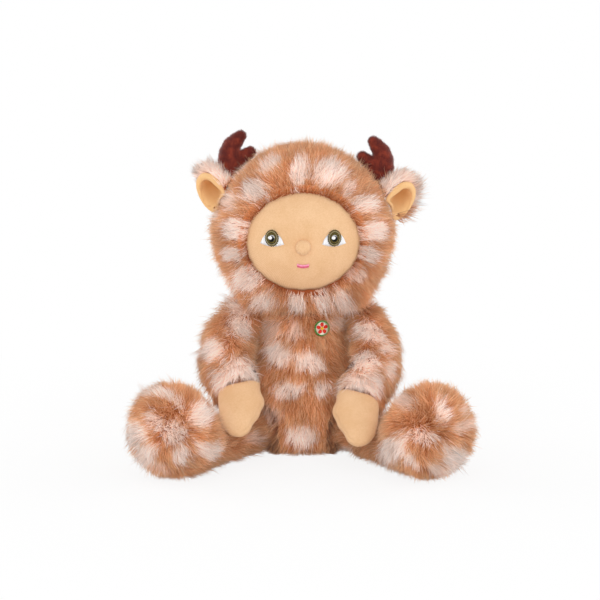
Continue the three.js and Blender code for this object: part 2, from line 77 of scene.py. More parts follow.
def linear(red: int, green: int, blue: int) -> Colour:
    """Turn a colour as seen on a screen, 0 to 255, into linear values.

    Args:
        red: Red, 0 to 255.
        green: Green, 0 to 255.
        blue: Blue, 0 to 255.

    Returns:
        The colour's linear red, green and blue.
    """
    shares = (channel / 255 for channel in (red, green, blue))
    return tuple(s / 12.92 if s <= 0.04045 else ((s + 0.055) / 1.055) ** 2.4 for s in shares)


def unit(vectors: np.ndarray) -> np.ndarray:
    """Scale each row to a length of 1.

    Args:
        vectors: Rows of three numbers.

    Returns:
        The rows at unit length. A row of zeros stays so.
    """
    return vectors / np.maximum(np.linalg.norm(vectors, axis=1, keepdims=True), 1e-12)


def tangent(vectors: np.ndarray, normals: np.ndarray) -> np.ndarray:
    """Take out of each vector what points along the surface's normal.

    Args:
        vectors: Rows of three numbers.
        normals: The unit normal at each row.

    Returns:
        The part of each vector that lies in the surface.
    """
    return vectors - normals * np.sum(vectors * normals, axis=1, keepdims=True)


def along_skin(vectors: np.ndarray, normals: np.ndarray, nudge: float = TINY) -> np.ndarray:
    """Lay each vector in the surface, at a length of 1.

    Args:
        vectors: Rows of three numbers.
        normals: The unit normal at each row.
        nudge: What is added first, so that a vector that has no way along the skin gets one.

    Returns:
        Unit vectors in the surface.
    """
    return unit(tangent(vectors, normals) + nudge)


def smoothstep(low: float, high: float, values: np.ndarray) -> np.ndarray:
    """Ease from 0 at `low` to 1 at `high`.

    Args:
        low: Where the result leaves 0. It may be above `high`.
        high: Where the result reaches 1.
        values: The numbers to ease.

    Returns:
        Numbers from 0 to 1.
    """
    share = np.clip((values - low) / (high - low), 0, 1)
    return share * share * (3 - 2 * share)


def ripple(points: np.ndarray, size: float, seed: int) -> np.ndarray:
    """Smooth noise through space, made of crossing waves.

    Args:
        points: Places, one to a row.
        size: Rough distance from crest to crest, in metres.
        seed: Picks the waves.

    Returns:
        Numbers of about -1 to 1.
    """
    rng = np.random.default_rng(seed)
    total = np.zeros(len(points))
    for _ in range(7):
        wave = rng.normal(size=3)
        wave *= FULL_TURN * rng.uniform(0.6, 1.5) / (size * np.linalg.norm(wave))
        total += np.sin(points @ wave + rng.uniform(0, FULL_TURN))
    return np.clip(total / 3.2, -1, 1)


def places_of(verts: Iterable[bpy.types.MeshVertex | bmesh.types.BMVert]) -> np.ndarray:
    """The places of vertices, one to a row."""
    return np.array([v.co for v in verts])


def normals_of(verts: Iterable[bpy.types.MeshVertex | bmesh.types.BMVert]) -> np.ndarray:
    """The normals of vertices, one to a row."""
    return np.array([v.normal for v in verts])


def place_vertices(mesh: bpy.types.Mesh, places: np.ndarray) -> None:
    """Move a mesh's vertices to new places."""
    mesh.vertices.foreach_set("co", places.astype(np.float32).ravel())


def mark_vertices(mesh: bpy.types.Mesh, name: str, values: np.ndarray) -> None:
    """Store a number at each vertex, for the materials to read."""
    layer = mesh.attributes.new(name, "FLOAT", "POINT")
    layer.data.foreach_set("value", values.astype(np.float32))


# ---- Shader maths ----


class Wire:
    """A number socket of a shader, which takes part in Python expressions."""

    def __init__(self, shader: "Shader", socket: bpy.types.NodeSocket) -> None:
        """Keep the socket and the shader that it belongs to."""
        self.shader = shader
        self.socket = socket

    def _maths(self, operation: str, *values: "Wire | float") -> "Wire":
        """Add a Math node, whose inputs are given in order."""
        node = self.shader.node("ShaderNodeMath", {"operation": operation}, dict(enumerate(values)))
        return Wire(self.shader, node.outputs[0])

    def __add__(self, other: "Wire | float") -> "Wire":
        """Sum."""
        return self._maths("ADD", self, other)

    __radd__ = __add__

    def __sub__(self, other: "Wire | float") -> "Wire":
        """Difference."""
        return self._maths("SUBTRACT", self, other)

    def __rsub__(self, other: float) -> "Wire":
        """Difference from a number."""
        return self._maths("SUBTRACT", other, self)

    def __mul__(self, other: "Wire | float") -> "Wire":
        """Product."""
        return self._maths("MULTIPLY", self, other)

    __rmul__ = __mul__

    def sine(self) -> "Wire":
        """Sine of the value, in radians."""
        return self._maths("SINE", self)

    def above(self, limit: float, width: float) -> "Wire":
        """Ease from 0 to 1 as the value passes a limit.

        Args:
            limit: The middle of the change.
            width: How far the change reaches.

        Returns:
            A number from 0 to 1.
        """
        node = self.shader.node(
            "ShaderNodeMapRange",
            {"interpolation_type": "SMOOTHSTEP"},
            {0: self, 1: limit - width / 2, 2: limit + width / 2},
        )
        return Wire(self.shader, node.outputs[0])


class Shader:
    """The node tree of a material or of the world, with one method that adds any node."""

    def __init__(self, owner: bpy.types.Material | bpy.types.World) -> None:
        """Start the nodes of a material or of the world."""
        owner.use_nodes = True
        self.tree = owner.node_tree

    @property
    def skin(self) -> bpy.types.Node:
        """The Principled shader that a material starts with."""
        return self.tree.nodes["Principled BSDF"]

    def node(self, kind: str, settings: dict, inputs: dict) -> bpy.types.Node:
        """Add a node, with its settings made before its inputs.

        Args:
            kind: The node's type.
            settings: Its properties. "stops" holds a ramp's (place, colour) pairs.
            inputs: Values, sockets or wires, by the input's name or number.

        Returns:
            The node.
        """
        node = self.tree.nodes.new(kind)
        for key, value in settings.items():
            if key == "stops":
                ramp = node.color_ramp
                while len(ramp.elements) < len(value):
                    ramp.elements.new(0.5)
                for element, (place, colour) in zip(ramp.elements, value):
                    element.position = place
                    element.color = (*colour, 1)
            else:
                setattr(node, key, value)
        for key, value in inputs.items():
            self.feed(node.inputs[key], value)
        return node

    def feed(self, socket: bpy.types.NodeSocket, value: object) -> None:
        """Give a socket a link or a constant.

        Args:
            socket: The input.
            value: A wire, a socket, a colour or a number.
        """
        if isinstance(value, Wire):
            value = value.socket
        if isinstance(value, bpy.types.NodeSocket):
            self.tree.links.new(value, socket)
        elif socket.type == "RGBA" and len(value) == 3:
            socket.default_value = (*value, 1)
        else:
            socket.default_value = value

    def attribute(self, name: str) -> Wire:
        """A number that the mesh carries at its vertices."""
        node = self.node("ShaderNodeAttribute", {"attribute_name": name}, {})
        return Wire(self, node.outputs["Fac"])

    def place(self) -> bpy.types.NodeSocket:
        """The place in the object's own frame."""
        return self.node("ShaderNodeTexCoord", {}, {}).outputs["Object"]

    def noise(self, size: float, detail: float = 3, rough: float = 0.5) -> Wire:
        """Noise through the object.

        Args:
            size: Rough size of a patch, in metres.
            detail: How many finer layers it has.
            rough: How strong the finer layers are.

        Returns:
            A number of about 0.3 to 0.7.
        """
        node = self.node(
            "ShaderNodeTexNoise",
            {},
            {"Vector": self.place(), "Scale": 1 / size, "Detail": detail, "Roughness": rough},
        )
        return Wire(self, node.outputs[0])

    def ramp(self, amount: Wire, stops: Sequence[tuple[float, Colour]]) -> bpy.types.NodeSocket:
        """The colour at an amount from 0 to 1, between stops, which are places and colours."""
        return self.node("ShaderNodeValToRGB", {"stops": stops}, {0: amount}).outputs[0]

    def mixed(self, amount: Wire | float, first: object, second: object) -> bpy.types.NodeSocket:
        """Mix two colours or their sockets: 0 is all of the first, 1 all of the second."""
        node = self.node("ShaderNodeMix", {"data_type": "RGBA"}, {0: amount, 6: first, 7: second})
        return node.outputs[2]

    def shaded(self, colour: object, light: Wire) -> bpy.types.NodeSocket:
        """Multiply a colour, or its socket, by a number."""
        inputs = {0: colour, "Scale": light}
        return self.node("ShaderNodeVectorMath", {"operation": "SCALE"}, inputs).outputs[0]

    def raised(self, height: Wire, depth: float) -> None:
        """Let a height from 0 to 1, where 1 is `depth` in metres, shape the shading."""
        inputs = {"Strength": 1.0, "Distance": depth, "Height": height}
        self.feed(self.skin.inputs["Normal"], self.node("ShaderNodeBump", {}, inputs).outputs[0])


# ---- Finishes ----


@dataclass(frozen=True)
class Finish:
    """A surface that a material is made of."""

    specular: ClassVar[float] = 0.2
    name: str
    roughness: float

    def dress(self, shader: Shader) -> None:
        """Add the finish's own nodes to the shader."""
        raise NotImplementedError

    @cache
    def material(self) -> bpy.types.Material:
        """The finish's material, made once.

        Returns:
            The material.
        """
        material = bpy.data.materials.new(f"{self.name}_finish")
        shader = Shader(material)
        shader.feed(shader.skin.inputs["Roughness"], self.roughness)
        shader.feed(shader.skin.inputs["Specular IOR Level"], self.specular)
        self.dress(shader)
        return material


@dataclass(frozen=True)
class PileFinish(Finish):
    """Strands that change from root to tip, with pale spots."""

    plain: tuple[Colour, Colour, Colour]
    pale: tuple[Colour, Colour, Colour]
    sheen: float = 0.08
    sheen_roughness: float = 0.5
    unevenness: float = 0.42

    def dress(self, shader: Shader) -> None:
        """Colour the strands by what their vertices carry.

        Args:
            shader: The material's shader.
        """
        reach = shader.attribute("reach")
        stops = (0.0, 0.5, 1.0)
        # Darker at the root than at the tip: partly the pile's own colour, partly painted shade for
        # the depth of the pile, since the strands cast no shadow.
        plain = shader.ramp(reach, list(zip(stops, self.plain)))
        pale = shader.ramp(reach, list(zip(stops, self.pale)))
        colour = shader.mixed(shader.attribute("tone"), plain, pale)
        light = 1 + self.unevenness * shader.attribute("tint")
        shader.feed(shader.skin.inputs["Base Color"], shader.shaded(colour, light))
        shader.feed(shader.skin.inputs["Sheen Weight"], self.sheen)
        shader.feed(shader.skin.inputs["Sheen Roughness"], self.sheen_roughness)


@dataclass(frozen=True)
class ClothFinish(Finish):
    """Plain-woven cotton with a soft, brushed face."""

    colour: Colour
    shade: Colour
    hollow: Colour | None = None
    thread: float = 0.5 * MM
    wander: float = 1.3 * MM
    fuzz: float = 1.1 * MM
    cloud: float = 16 * MM
    relief: float = 0.12 * MM
    sheen: float = 0.12

    def dress(self, shader: Shader) -> None:
        """Weave the surface, let its colour drift, and paint shade where `deep` is high.

        Args:
            shader: The material's shader.
        """
        split = shader.node("ShaderNodeSeparateXYZ", {}, {0: shader.place()})
        turns = math.pi / self.thread
        across, deep, up = (Wire(shader, split.outputs[i]) for i in range(3))
        drift = shader.noise(self.wander) * 1.6
        warp = ((across + 0.6 * deep) * turns + drift).sine()
        weft = ((up + 0.35 * deep) * turns + drift).sine()
        weave = 0.5 + 0.5 * warp * weft
        fuzz = shader.noise(self.fuzz, 4, 0.75)
        cloud = shader.noise(self.cloud, 2)
        amount = (0.5 * weave + 0.9 * fuzz + 0.7 * cloud - 0.75).above(0.3, 1.0)
        colour = shader.mixed(amount, self.shade, self.colour)
        # Painted shade: the colour darkens as far as the mesh's `deep` says, where shade falls in
        # the ear's cup.
        if self.hollow:
            colour = shader.mixed(shader.attribute("deep"), colour, self.hollow)
        shader.feed(shader.skin.inputs["Base Color"], colour)
        shader.raised(0.6 * weave + 0.8 * fuzz, self.relief)
        shader.feed(shader.skin.inputs["Sheen Weight"], self.sheen)


@dataclass(frozen=True)
class VelourFinish(Finish):
    """Short, dense nap, with lighter patches of painted sheen where a brushed nap catches light."""

    colour: Colour
    # The patches' lighter colour is painted sheen.
    brushed: Colour
    patch: float = 5 * MM
    tuft: float = 0.6 * MM
    relief: float = 0.25 * MM
    sheen: float = 0.3

    def dress(self, shader: Shader) -> None:
        """Brush patches of the nap lighter.

        Args:
            shader: The material's shader.
        """
        # Paint patches of sheen on the nap, in a lighter colour.
        patches = shader.noise(self.patch, 3, 0.6)
        nap = shader.noise(self.tuft, 3, 0.7)
        amount = (patches + 0.5 * (nap - 0.5)).above(0.56, 0.3)
        colour = shader.mixed(amount, self.colour, self.brushed)
        shader.feed(shader.skin.inputs["Base Color"], colour)
        shader.raised(nap, self.relief)
        shader.feed(shader.skin.inputs["Sheen Weight"], self.sheen)


@dataclass(frozen=True)
class ThreadFinish(Finish):
    """Shiny embroidery thread in several colours, which the mesh's `hue` picks."""

    hues: tuple[Colour, ...]
    unevenness: float = 0.3
    twist: float = 0.35 * MM
    relief: float = 0.05 * MM

    def dress(self, shader: Shader) -> None:
        """Pick each stitch's colour, and twist its thread.

        Args:
            shader: The material's shader.
        """
        steps = len(self.hues)
        stops = [((i + 0.5) / steps, colour) for i, colour in enumerate(self.hues)]
        colour = shader.ramp(shader.attribute("hue"), stops)
        light = 1 + self.unevenness * shader.attribute("tint")
        shader.feed(shader.skin.inputs["Base Color"], shader.shaded(colour, light))
        shader.raised(shader.noise(self.twist, 2), self.relief)


@dataclass(frozen=True)
class FloorFinish(Finish):
    """A pale studio floor that fades to plain white away from the object.

    `clear` is how far from the origin it is half faded, in metres, and `lift` the share of white
    that it has everywhere.
    """

    colour: Colour
    clear: float
    lift: float

    def dress(self, shader: Shader) -> None:
        """Mix the lit floor with plain white for what looks at it directly.

        Args:
            shader: The material's shader.
        """
        shader.feed(shader.skin.inputs["Base Color"], self.colour)
        rays = shader.node("ShaderNodeLightPath", {}, {})
        distance = shader.node("ShaderNodeVectorMath", {"operation": "LENGTH"}, {0: shader.place()})
        far = Wire(shader, distance.outputs["Value"]).above(self.clear, self.clear)
        far = self.lift + (1 - self.lift) * far
        seen = Wire(shader, rays.outputs["Is Camera Ray"])
        shiny = Wire(shader, rays.outputs["Is Glossy Ray"])
        through = Wire(shader, rays.outputs["Is Transmission Ray"])
        white = shader.node("ShaderNodeEmission", {}, {"Color": (1, 1, 1), "Strength": 1.0})
        mix = shader.node(
            "ShaderNodeMixShader",
            {},
            {0: far * (seen + shiny + through), 1: shader.skin.outputs[0], 2: white.outputs[0]},
        )
        shader.feed(shader.tree.nodes["Material Output"].inputs["Surface"], mix.outputs[0])


# Each pile's colours run from root to tip. The dark roots are partly painted shade, which stands in
# for the shade deep in the pile.
UNDERFUR = PileFinish(
    "underfur",
    0.85,
    plain=(linear(148, 72, 34), linear(208, 133, 88), linear(232, 171, 123)),
    pale=(linear(230, 182, 156), linear(252, 224, 208), linear(253, 234, 222)),
)
WISPS = PileFinish(
    "fur_wisps",
    0.8,
    plain=(linear(164, 86, 44), linear(220, 156, 110), linear(246, 206, 168)),
    pale=(linear(238, 198, 176), linear(252, 230, 219), linear(254, 240, 234)),
)
# The facing and the antler's nap also darken towards the root: partly painted shade.
FACING_BROWNS = (linear(186, 90, 42), linear(224, 134, 76), linear(242, 166, 110))
FACING = PileFinish("facing_pile", 0.9, plain=FACING_BROWNS, pale=FACING_BROWNS)
NAP_BROWNS = (linear(88, 16, 6), linear(126, 36, 18), linear(172, 72, 42))
NAP = PileFinish("antler_nap", 0.7, plain=NAP_BROWNS, pale=NAP_BROWNS, sheen=0.3)
COTTON = ClothFinish("cotton", 0.8, colour=linear(244, 204, 162), shade=linear(222, 174, 125))
# The ear's lining, with a darker colour for the painted shade in its cup.
LINING = ClothFinish(
    "ear_lining", 0.85, colour=linear(246, 204, 150), shade=linear(236, 184, 124),
    hollow=linear(182, 112, 54),
)
# Dark velour, with lighter patches of painted sheen.
ANTLER = VelourFinish("antler_velour", 0.6, colour=linear(84, 18, 9), brushed=linear(140, 50, 28))
WHITE = ThreadFinish("white_thread", 0.45, hues=(linear(228, 228, 236), linear(250, 250, 252)))
OLIVE = ThreadFinish(
    "iris_thread",
    0.4,
    hues=(
        linear(12, 10, 10),
        linear(74, 66, 40),
        linear(116, 102, 46),
        linear(168, 148, 78),
        linear(250, 250, 252),
    ),
)
PINK = ThreadFinish("mouth_thread", 0.4, hues=(linear(232, 112, 142), linear(255, 170, 200)))
PATCH = ThreadFinish(
    "badge_thread",
    0.4,
    hues=(linear(40, 150, 60), linear(250, 240, 225), linear(246, 196, 40), linear(224, 56, 40)),
)


# ---- Shapes ----


@dataclass(frozen=True)
class Sweep:
    """A thin closed tube or spike that is repeated along many short curves.

    `widths` are the radius's share at each step along the curve, the last 0 on a spike.
    """

    sides: int
    widths: tuple[float, ...]
    roundness: float = 1.1

    def template(self) -> tuple[np.ndarray, np.ndarray, list[list[int]], list[np.ndarray]]:
        """Cut a cone or a cylinder into steps.

        Returns:
            The direction across of each vertex, its step, the faces, and their map places.
        """
        steps = len(self.widths) - 1
        spiked = self.widths[-1] == 0
        model = bmesh.new()
        bmesh.ops.create_cone(
            model,
            cap_ends=True,
            segments=self.sides,
            radius1=1,
            radius2=0 if spiked else 1,
            depth=1,
            matrix=Matrix.Translation((0, 0, 0.5)),
        )
        for step in range(1, steps):
            bmesh.ops.bisect_plane(
                model,
                geom=[*model.verts, *model.edges, *model.faces],
                plane_co=(0, 0, step / steps),
                plane_no=(0, 0, 1),
            )
        bmesh.ops.recalc_face_normals(model, faces=model.faces)
        model.verts.index_update()
        places = places_of(model.verts)
        reach = np.linalg.norm(places[:, :2], axis=1)[:, None]
        across = np.where(reach < 1e-6, 0, places[:, :2] / np.maximum(reach, 1e-6))
        step_of = np.rint(places[:, 2] * steps).astype(int)
        faces = [[v.index for v in f.verts] for f in model.faces]
        model.free()
        return across, step_of, faces, [self._map(f, across, step_of / steps) for f in faces]

    def _map(self, face: list[int], across: np.ndarray, along: np.ndarray) -> np.ndarray:
        """Unroll one face of the template into a square, sides in its middle and caps below.

        Args:
            face: The face's vertices.
            across: The direction across of each vertex.
            along: The share of the way along of each vertex.

        Returns:
            A place in the unit square for each corner.
        """
        turns = np.arctan2(across[face, 1], across[face, 0]) / FULL_TURN % 1
        if np.ptp(along[face]) < 1e-6:
            return np.column_stack([0.5 + 0.3 * across[face, 0], 0.04 + 0.03 * across[face, 1]])
        real = np.linalg.norm(across[face], axis=1) > 0.5
        if np.ptp(turns[real]) > 0.5:
            turns = np.where(turns < 0.5 - 1e-6, turns + 1, turns)
        turns[~real] = turns[real].mean()
        low = turns[real].min()
        return np.column_stack([0.1 + 0.8 * np.clip(turns - low, 0, 1), 0.1 + 0.8 * along[face]])

    def along(self, curves: np.ndarray, radius: np.ndarray, facing: np.ndarray | None = None,
              ) -> "Bundle":
        """Repeat the shape along curves.

        Args:
            curves: Points with the shape (curve, step, 3).
            radius: The radius of each curve's shape.
            facing: Where each copy's shading leans, or nothing to shade its faces as they are.

        Returns:
            The bundle of shapes.
        """
        across, step_of, faces, maps = self.template()
        heading = unit(curves[:, -1] - curves[:, 0])
        helper = np.where(np.abs(heading[:, 2:]) > 0.9, (1.0, 0.0, 0.0), (0.0, 0.0, 1.0))
        side = unit(np.cross(heading, helper))
        rise = np.cross(heading, side)
        widths = np.array(self.widths)[step_of]
        spread = side[:, None] * across[None, :, :1] + rise[:, None] * across[None, :, 1:]
        places = curves[:, step_of] + spread * (radius[:, None] * widths)[..., None]
        shading = None
        if facing is not None:
            shading = unit((spread * self.roundness + facing[:, None]).reshape(-1, 3))
        return Bundle(places, step_of / (len(self.widths) - 1), faces, maps, shading)


@dataclass
class Bundle:
    """Many copies of one small shape.

    `places` has the shape (copy, vertex, 3), `along` gives each vertex's share of the way, and
    `shading` a normal for each vertex where the copies are shaded as one soft surface.
    """

    places: np.ndarray
    along: np.ndarray
    faces: list[list[int]]
    maps: list[np.ndarray]
    shading: np.ndarray | None = None

    def mesh(self, name: str, marks: dict[str, np.ndarray]) -> bpy.types.Mesh:
        """Make one mesh of all the copies.

        Args:
            name: The mesh's name.
            marks: Numbers for each copy, by attribute name.

        Returns:
            The mesh, with a map that gives each copy its own cell.
        """
        copies, corners = self.places.shape[:2]
        sizes = np.array([len(f) for f in self.faces])
        flat = np.concatenate([np.array(f) for f in self.faces])
        loops = (flat[None] + corners * np.arange(copies)[:, None]).ravel()
        starts = np.concatenate([[0], np.cumsum(np.tile(sizes, copies))[:-1]])
        mesh = bpy.data.meshes.new(name)
        mesh.vertices.add(copies * corners)
        mesh.loops.add(len(loops))
        mesh.polygons.add(len(starts))
        place_vertices(mesh, self.places)
        mesh.loops.foreach_set("vertex_index", loops.astype(np.int32))
        mesh.polygons.foreach_set("loop_start", starts.astype(np.int32))
        mesh.update(calc_edges=True)
        mesh.shade_smooth()
        for key, values in marks.items():
            mark_vertices(mesh, key, np.repeat(values, corners))
        mark_vertices(mesh, "reach", np.tile(self.along, copies))
        grid = math.ceil(math.sqrt(copies))
        cells = np.stack([np.arange(copies) % grid, np.arange(copies) // grid], axis=1)
        places = (cells[:, None] + np.concatenate(self.maps)[None]) / grid
        layer = mesh.uv_layers.new(name=BAKE_MAP)
        layer.data.foreach_set("uv", places.astype(np.float32).ravel())
        if self.shading is not None:
            mesh.normals_split_custom_set_from_vertices(self.shading)
        return mesh


SPIKE = Sweep(3, (1.0, 0.0))
STRAND = Sweep(3, (1.0, 0.85, 0.0))
THREAD = Sweep(6, (0.55, 1.0, 1.05, 1.0, 0.55))


def merged(*nodes: str) -> bmesh.types.BMesh:
    """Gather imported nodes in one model, each with its vertices joined.

    Args:
        nodes: The nodes' names.

    Returns:
        The model.
    """
    model = bmesh.new()
    for node in nodes:
        model.from_mesh(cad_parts[node].data)
    bmesh.ops.remove_doubles(model, verts=model.verts, dist=WELD)
    return model


def relax(model: bmesh.types.BMesh) -> None:
    """Smooth a model once.

    Args:
        model: The model, which is changed.
    """
    bmesh.ops.smooth_vert(
        model, verts=model.verts, factor=0.5, use_axis_x=True, use_axis_y=True, use_axis_z=True
    )


@dataclass
class Skin:
    """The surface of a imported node, to scatter roots over and to measure from."""

    corners: np.ndarray
    normals: np.ndarray
    tree: BVHTree

    @classmethod
    @cache
    def of(cls, *nodes: str) -> "Skin":
        """Read the merged surface of one or more nodes, once.

        Args:
            nodes: The nodes' names.

        Returns:
            Their surface.
        """
        model = merged(*nodes)
        bmesh.ops.triangulate(model, faces=model.faces)
        model.normal_update()
        corners = np.array([[v.co for v in f.verts] for f in model.faces])
        normals = np.array([[cls._smooth(v, f) for v in f.verts] for f in model.faces])
        tree = BVHTree.FromBMesh(model)
        model.free()
        return cls(corners, normals, tree)

    @staticmethod
    def _smooth(vert: bmesh.types.BMVert, face: bmesh.types.BMFace) -> Vector:
        """A vertex's unit normal, smooth over the faces that turn little from this one."""
        flat = [f for f in vert.link_faces if f.normal.dot(face.normal) > SHARP_TURN]
        return sum((f.normal * f.calc_area() for f in flat), Vector()).normalized()

    def areas(self) -> np.ndarray:
        """The area of each face in square metres."""
        edges = self.corners[:, 1:] - self.corners[:, :1]
        return np.linalg.norm(np.cross(edges[:, 0], edges[:, 1]), axis=1) / 2

    def scatter(self, count: int, rng: np.random.Generator) -> tuple[np.ndarray, np.ndarray]:
        """Spread points evenly over the surface.

        Args:
            count: How many points.
            rng: Where chance comes from.

        Returns:
            The points and their smooth normals.
        """
        areas = self.areas()
        total = np.cumsum(areas)
        picks = (np.arange(count) + rng.uniform(size=count)) / count * total[-1]
        chosen = np.searchsorted(total, picks).clip(0, len(areas) - 1)
        first, second = rng.uniform(size=(2, count))
        fold = first + second > 1
        first, second = np.where(fold, 1 - first, first), np.where(fold, 1 - second, second)
        shares = np.stack([1 - first - second, first, second], axis=1)[..., None]
        points = (self.corners[chosen] * shares).sum(axis=1)
        return points, unit((self.normals[chosen] * shares).sum(axis=1))

    def nearest(self, points: np.ndarray, reach: float) -> np.ndarray:
        """How far outside the surface points lie.

        Args:
            points: The points.
            reach: The furthest distance that matters.

        Returns:
            Each distance, negative inside, and `reach` where nothing is that near.
        """
        low = self.corners.min(axis=(0, 1)) - reach
        high = self.corners.max(axis=(0, 1)) + reach
        found = np.full(len(points), reach)
        for i in np.flatnonzero(((points > low) & (points < high)).all(axis=1)):
            place, normal, _, distance = self.tree.find_nearest(points[i], reach)
            if place is not None:
                outside = (Vector(points[i]) - place).dot(normal) >= 0
                found[i] = distance if outside else -distance
        return found


def make_piece(name: str, mesh: bpy.types.Mesh, finish: Finish, body: str,
               nodes: Iterable[str] = ()) -> bpy.types.Object:
    """Add a finished piece to the scene.

    Args:
        name: The piece's name.
        mesh: Its mesh, in place.
        finish: What it is made of.
        body: The body that it rides on.
        nodes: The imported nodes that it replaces.

    Returns:
        The piece.
    """
    piece = bpy.data.objects.new(name, mesh)
    bpy.context.scene.collection.objects.link(piece)
    mesh.materials.clear()
    mesh.materials.append(finish.material())
    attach(piece, body)
    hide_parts(*nodes)
    LOG.info("%s: %d faces on %s", name, len(mesh.polygons), body)
    return piece


def to_mesh(model: bmesh.types.BMesh, name: str) -> bpy.types.Mesh:
    """Turn a model into a smooth mesh, and free it.

    Args:
        model: The model.
        name: The mesh's name.

    Returns:
        The mesh.
    """
    mesh = bpy.data.meshes.new(name)
    model.to_mesh(mesh)
    model.free()
    mesh.shade_smooth()
    return mesh


def applied(mesh: bpy.types.Mesh, kind: str, **settings: object) -> bpy.types.Mesh:
    """Put a mesh through one modifier.

    Args:
        mesh: The mesh, which is used up.
        kind: The modifier's type.
        settings: Its properties.

    Returns:
        The new mesh.
    """
    holder = bpy.data.objects.new(mesh.name, mesh)
    bpy.context.scene.collection.objects.link(holder)
    modifier = holder.modifiers.new(kind, kind)
    for key, value in settings.items():
        setattr(modifier, key, value)
    graph = bpy.context.evaluated_depsgraph_get()
    result = bpy.data.meshes.new_from_object(holder.evaluated_get(graph))
    bpy.data.objects.remove(holder)
    bpy.data.meshes.remove(mesh)
    return result


def stuffed(name: str, model: bmesh.types.BMesh, voxel: float, inset: float, rounds: int = 4,
            room: Field | None = None) -> bpy.types.Mesh:
    """Round a soft form and draw its skin in, as the cloth under a pile lies.

    Args:
        name: The mesh's name.
        model: Closed solids, which are used up. Those that touch become one.
        voxel: The size of the new faces.
        inset: How far the cloth lies under the skin. Below 0 it swells.
        rounds: How often the form is smoothed first.
        room: The share of the inset that each place takes, or nothing for all of it.

    Returns:
        A closed mesh.
    """
    mesh = applied(to_mesh(model, name), "REMESH", mode="VOXEL", voxel_size=voxel)
    model = bmesh.new()
    model.from_mesh(mesh)
    bpy.data.meshes.remove(mesh)
    model.normal_update()
    shares = np.ones(len(model.verts))
    if room:
        shares = room(places_of(model.verts), normals_of(model.verts))
    steps = math.ceil(abs(inset) / (0.4 * voxel))
    for step in range(rounds + steps):
        relax(model)
        if step >= rounds:
            model.normal_update()
            for vert, share in zip(model.verts, shares):
                vert.co -= vert.normal * (share * inset / steps)
    for vert in model.verts:
        vert.co.z = max(vert.co.z, FLOOR_CLEARANCE)
    return to_mesh(model, name)


# ---- The pile ----


@dataclass(frozen=True)
class Pile:
    """How a pile stands.

    `depth` is how far its roots lie under the skin, `lean` is 0 upright and 1 flat, `droop` is
    what weight adds, `stray` and `uneven` are chance in direction and length, and `clump` is how
    far the tips of about `clump_size` strands draw together.
    """

    length: float = 9.5 * MM
    radius: float = 0.23 * MM
    depth: float = 5.7 * MM
    density: float = 1.65 / MM**2
    lean: float = 0.5
    droop: float = 0.2
    stray: float = 0.2
    clump: float = 0.6
    clump_size: int = 16
    uneven: float = 0.16
    shape: Sweep = SPIKE
    finish: PileFinish = UNDERFUR
    suffix: str = "pile"


GUARD = Pile(
    length=12 * MM, radius=0.2 * MM, density=0.4 / MM**2, lean=0.47, stray=0.25, clump=0.7,
    clump_size=9, uneven=0.18, shape=STRAND, finish=WISPS, suffix="guard_hair",
)


@dataclass(frozen=True)
class Spot:
    """A pale spot, placed as the camera sees it, in pixels of a 600 pixel picture.

    `slant` turns it, in degrees, and `strength` is how pale it is, from 0 to 1.
    """

    across: float
    down: float
    half_long: float
    half_high: float
    slant: float = 0.0
    strength: float = 1.0


@dataclass(frozen=True)
class Picture:
    """The camera's place and picture."""

    distance: float = 1.5
    elevation: float = math.radians(9.5)
    aim: tuple[float, float, float] = (-2.3 * MM, 0.0, 115 * MM)
    pixel: float = 0.77 * MM
    side: int = 600

    def back(self) -> Vector:
        """The direction from the object to the camera."""
        return Vector((0, -math.cos(self.elevation), math.sin(self.elevation)))

    def eye(self) -> Vector:
        """Where the camera stands."""
        return Vector(self.aim) + self.back() * self.distance

    def ray(self, across: float, down: float) -> Vector:
        """The direction in which a pixel looks.

        Args:
            across: Pixels from the left.
            down: Pixels from the top.

        Returns:
            The unit direction.
        """
        right = Vector((1, 0, 0))
        rise = self.back().cross(right)
        half = self.side / 2
        place = Vector(self.aim)
        place += right * (across - half) * self.pixel + rise * (half - down) * self.pixel
        return (place - self.eye()).normalized()


PICTURE = Picture()


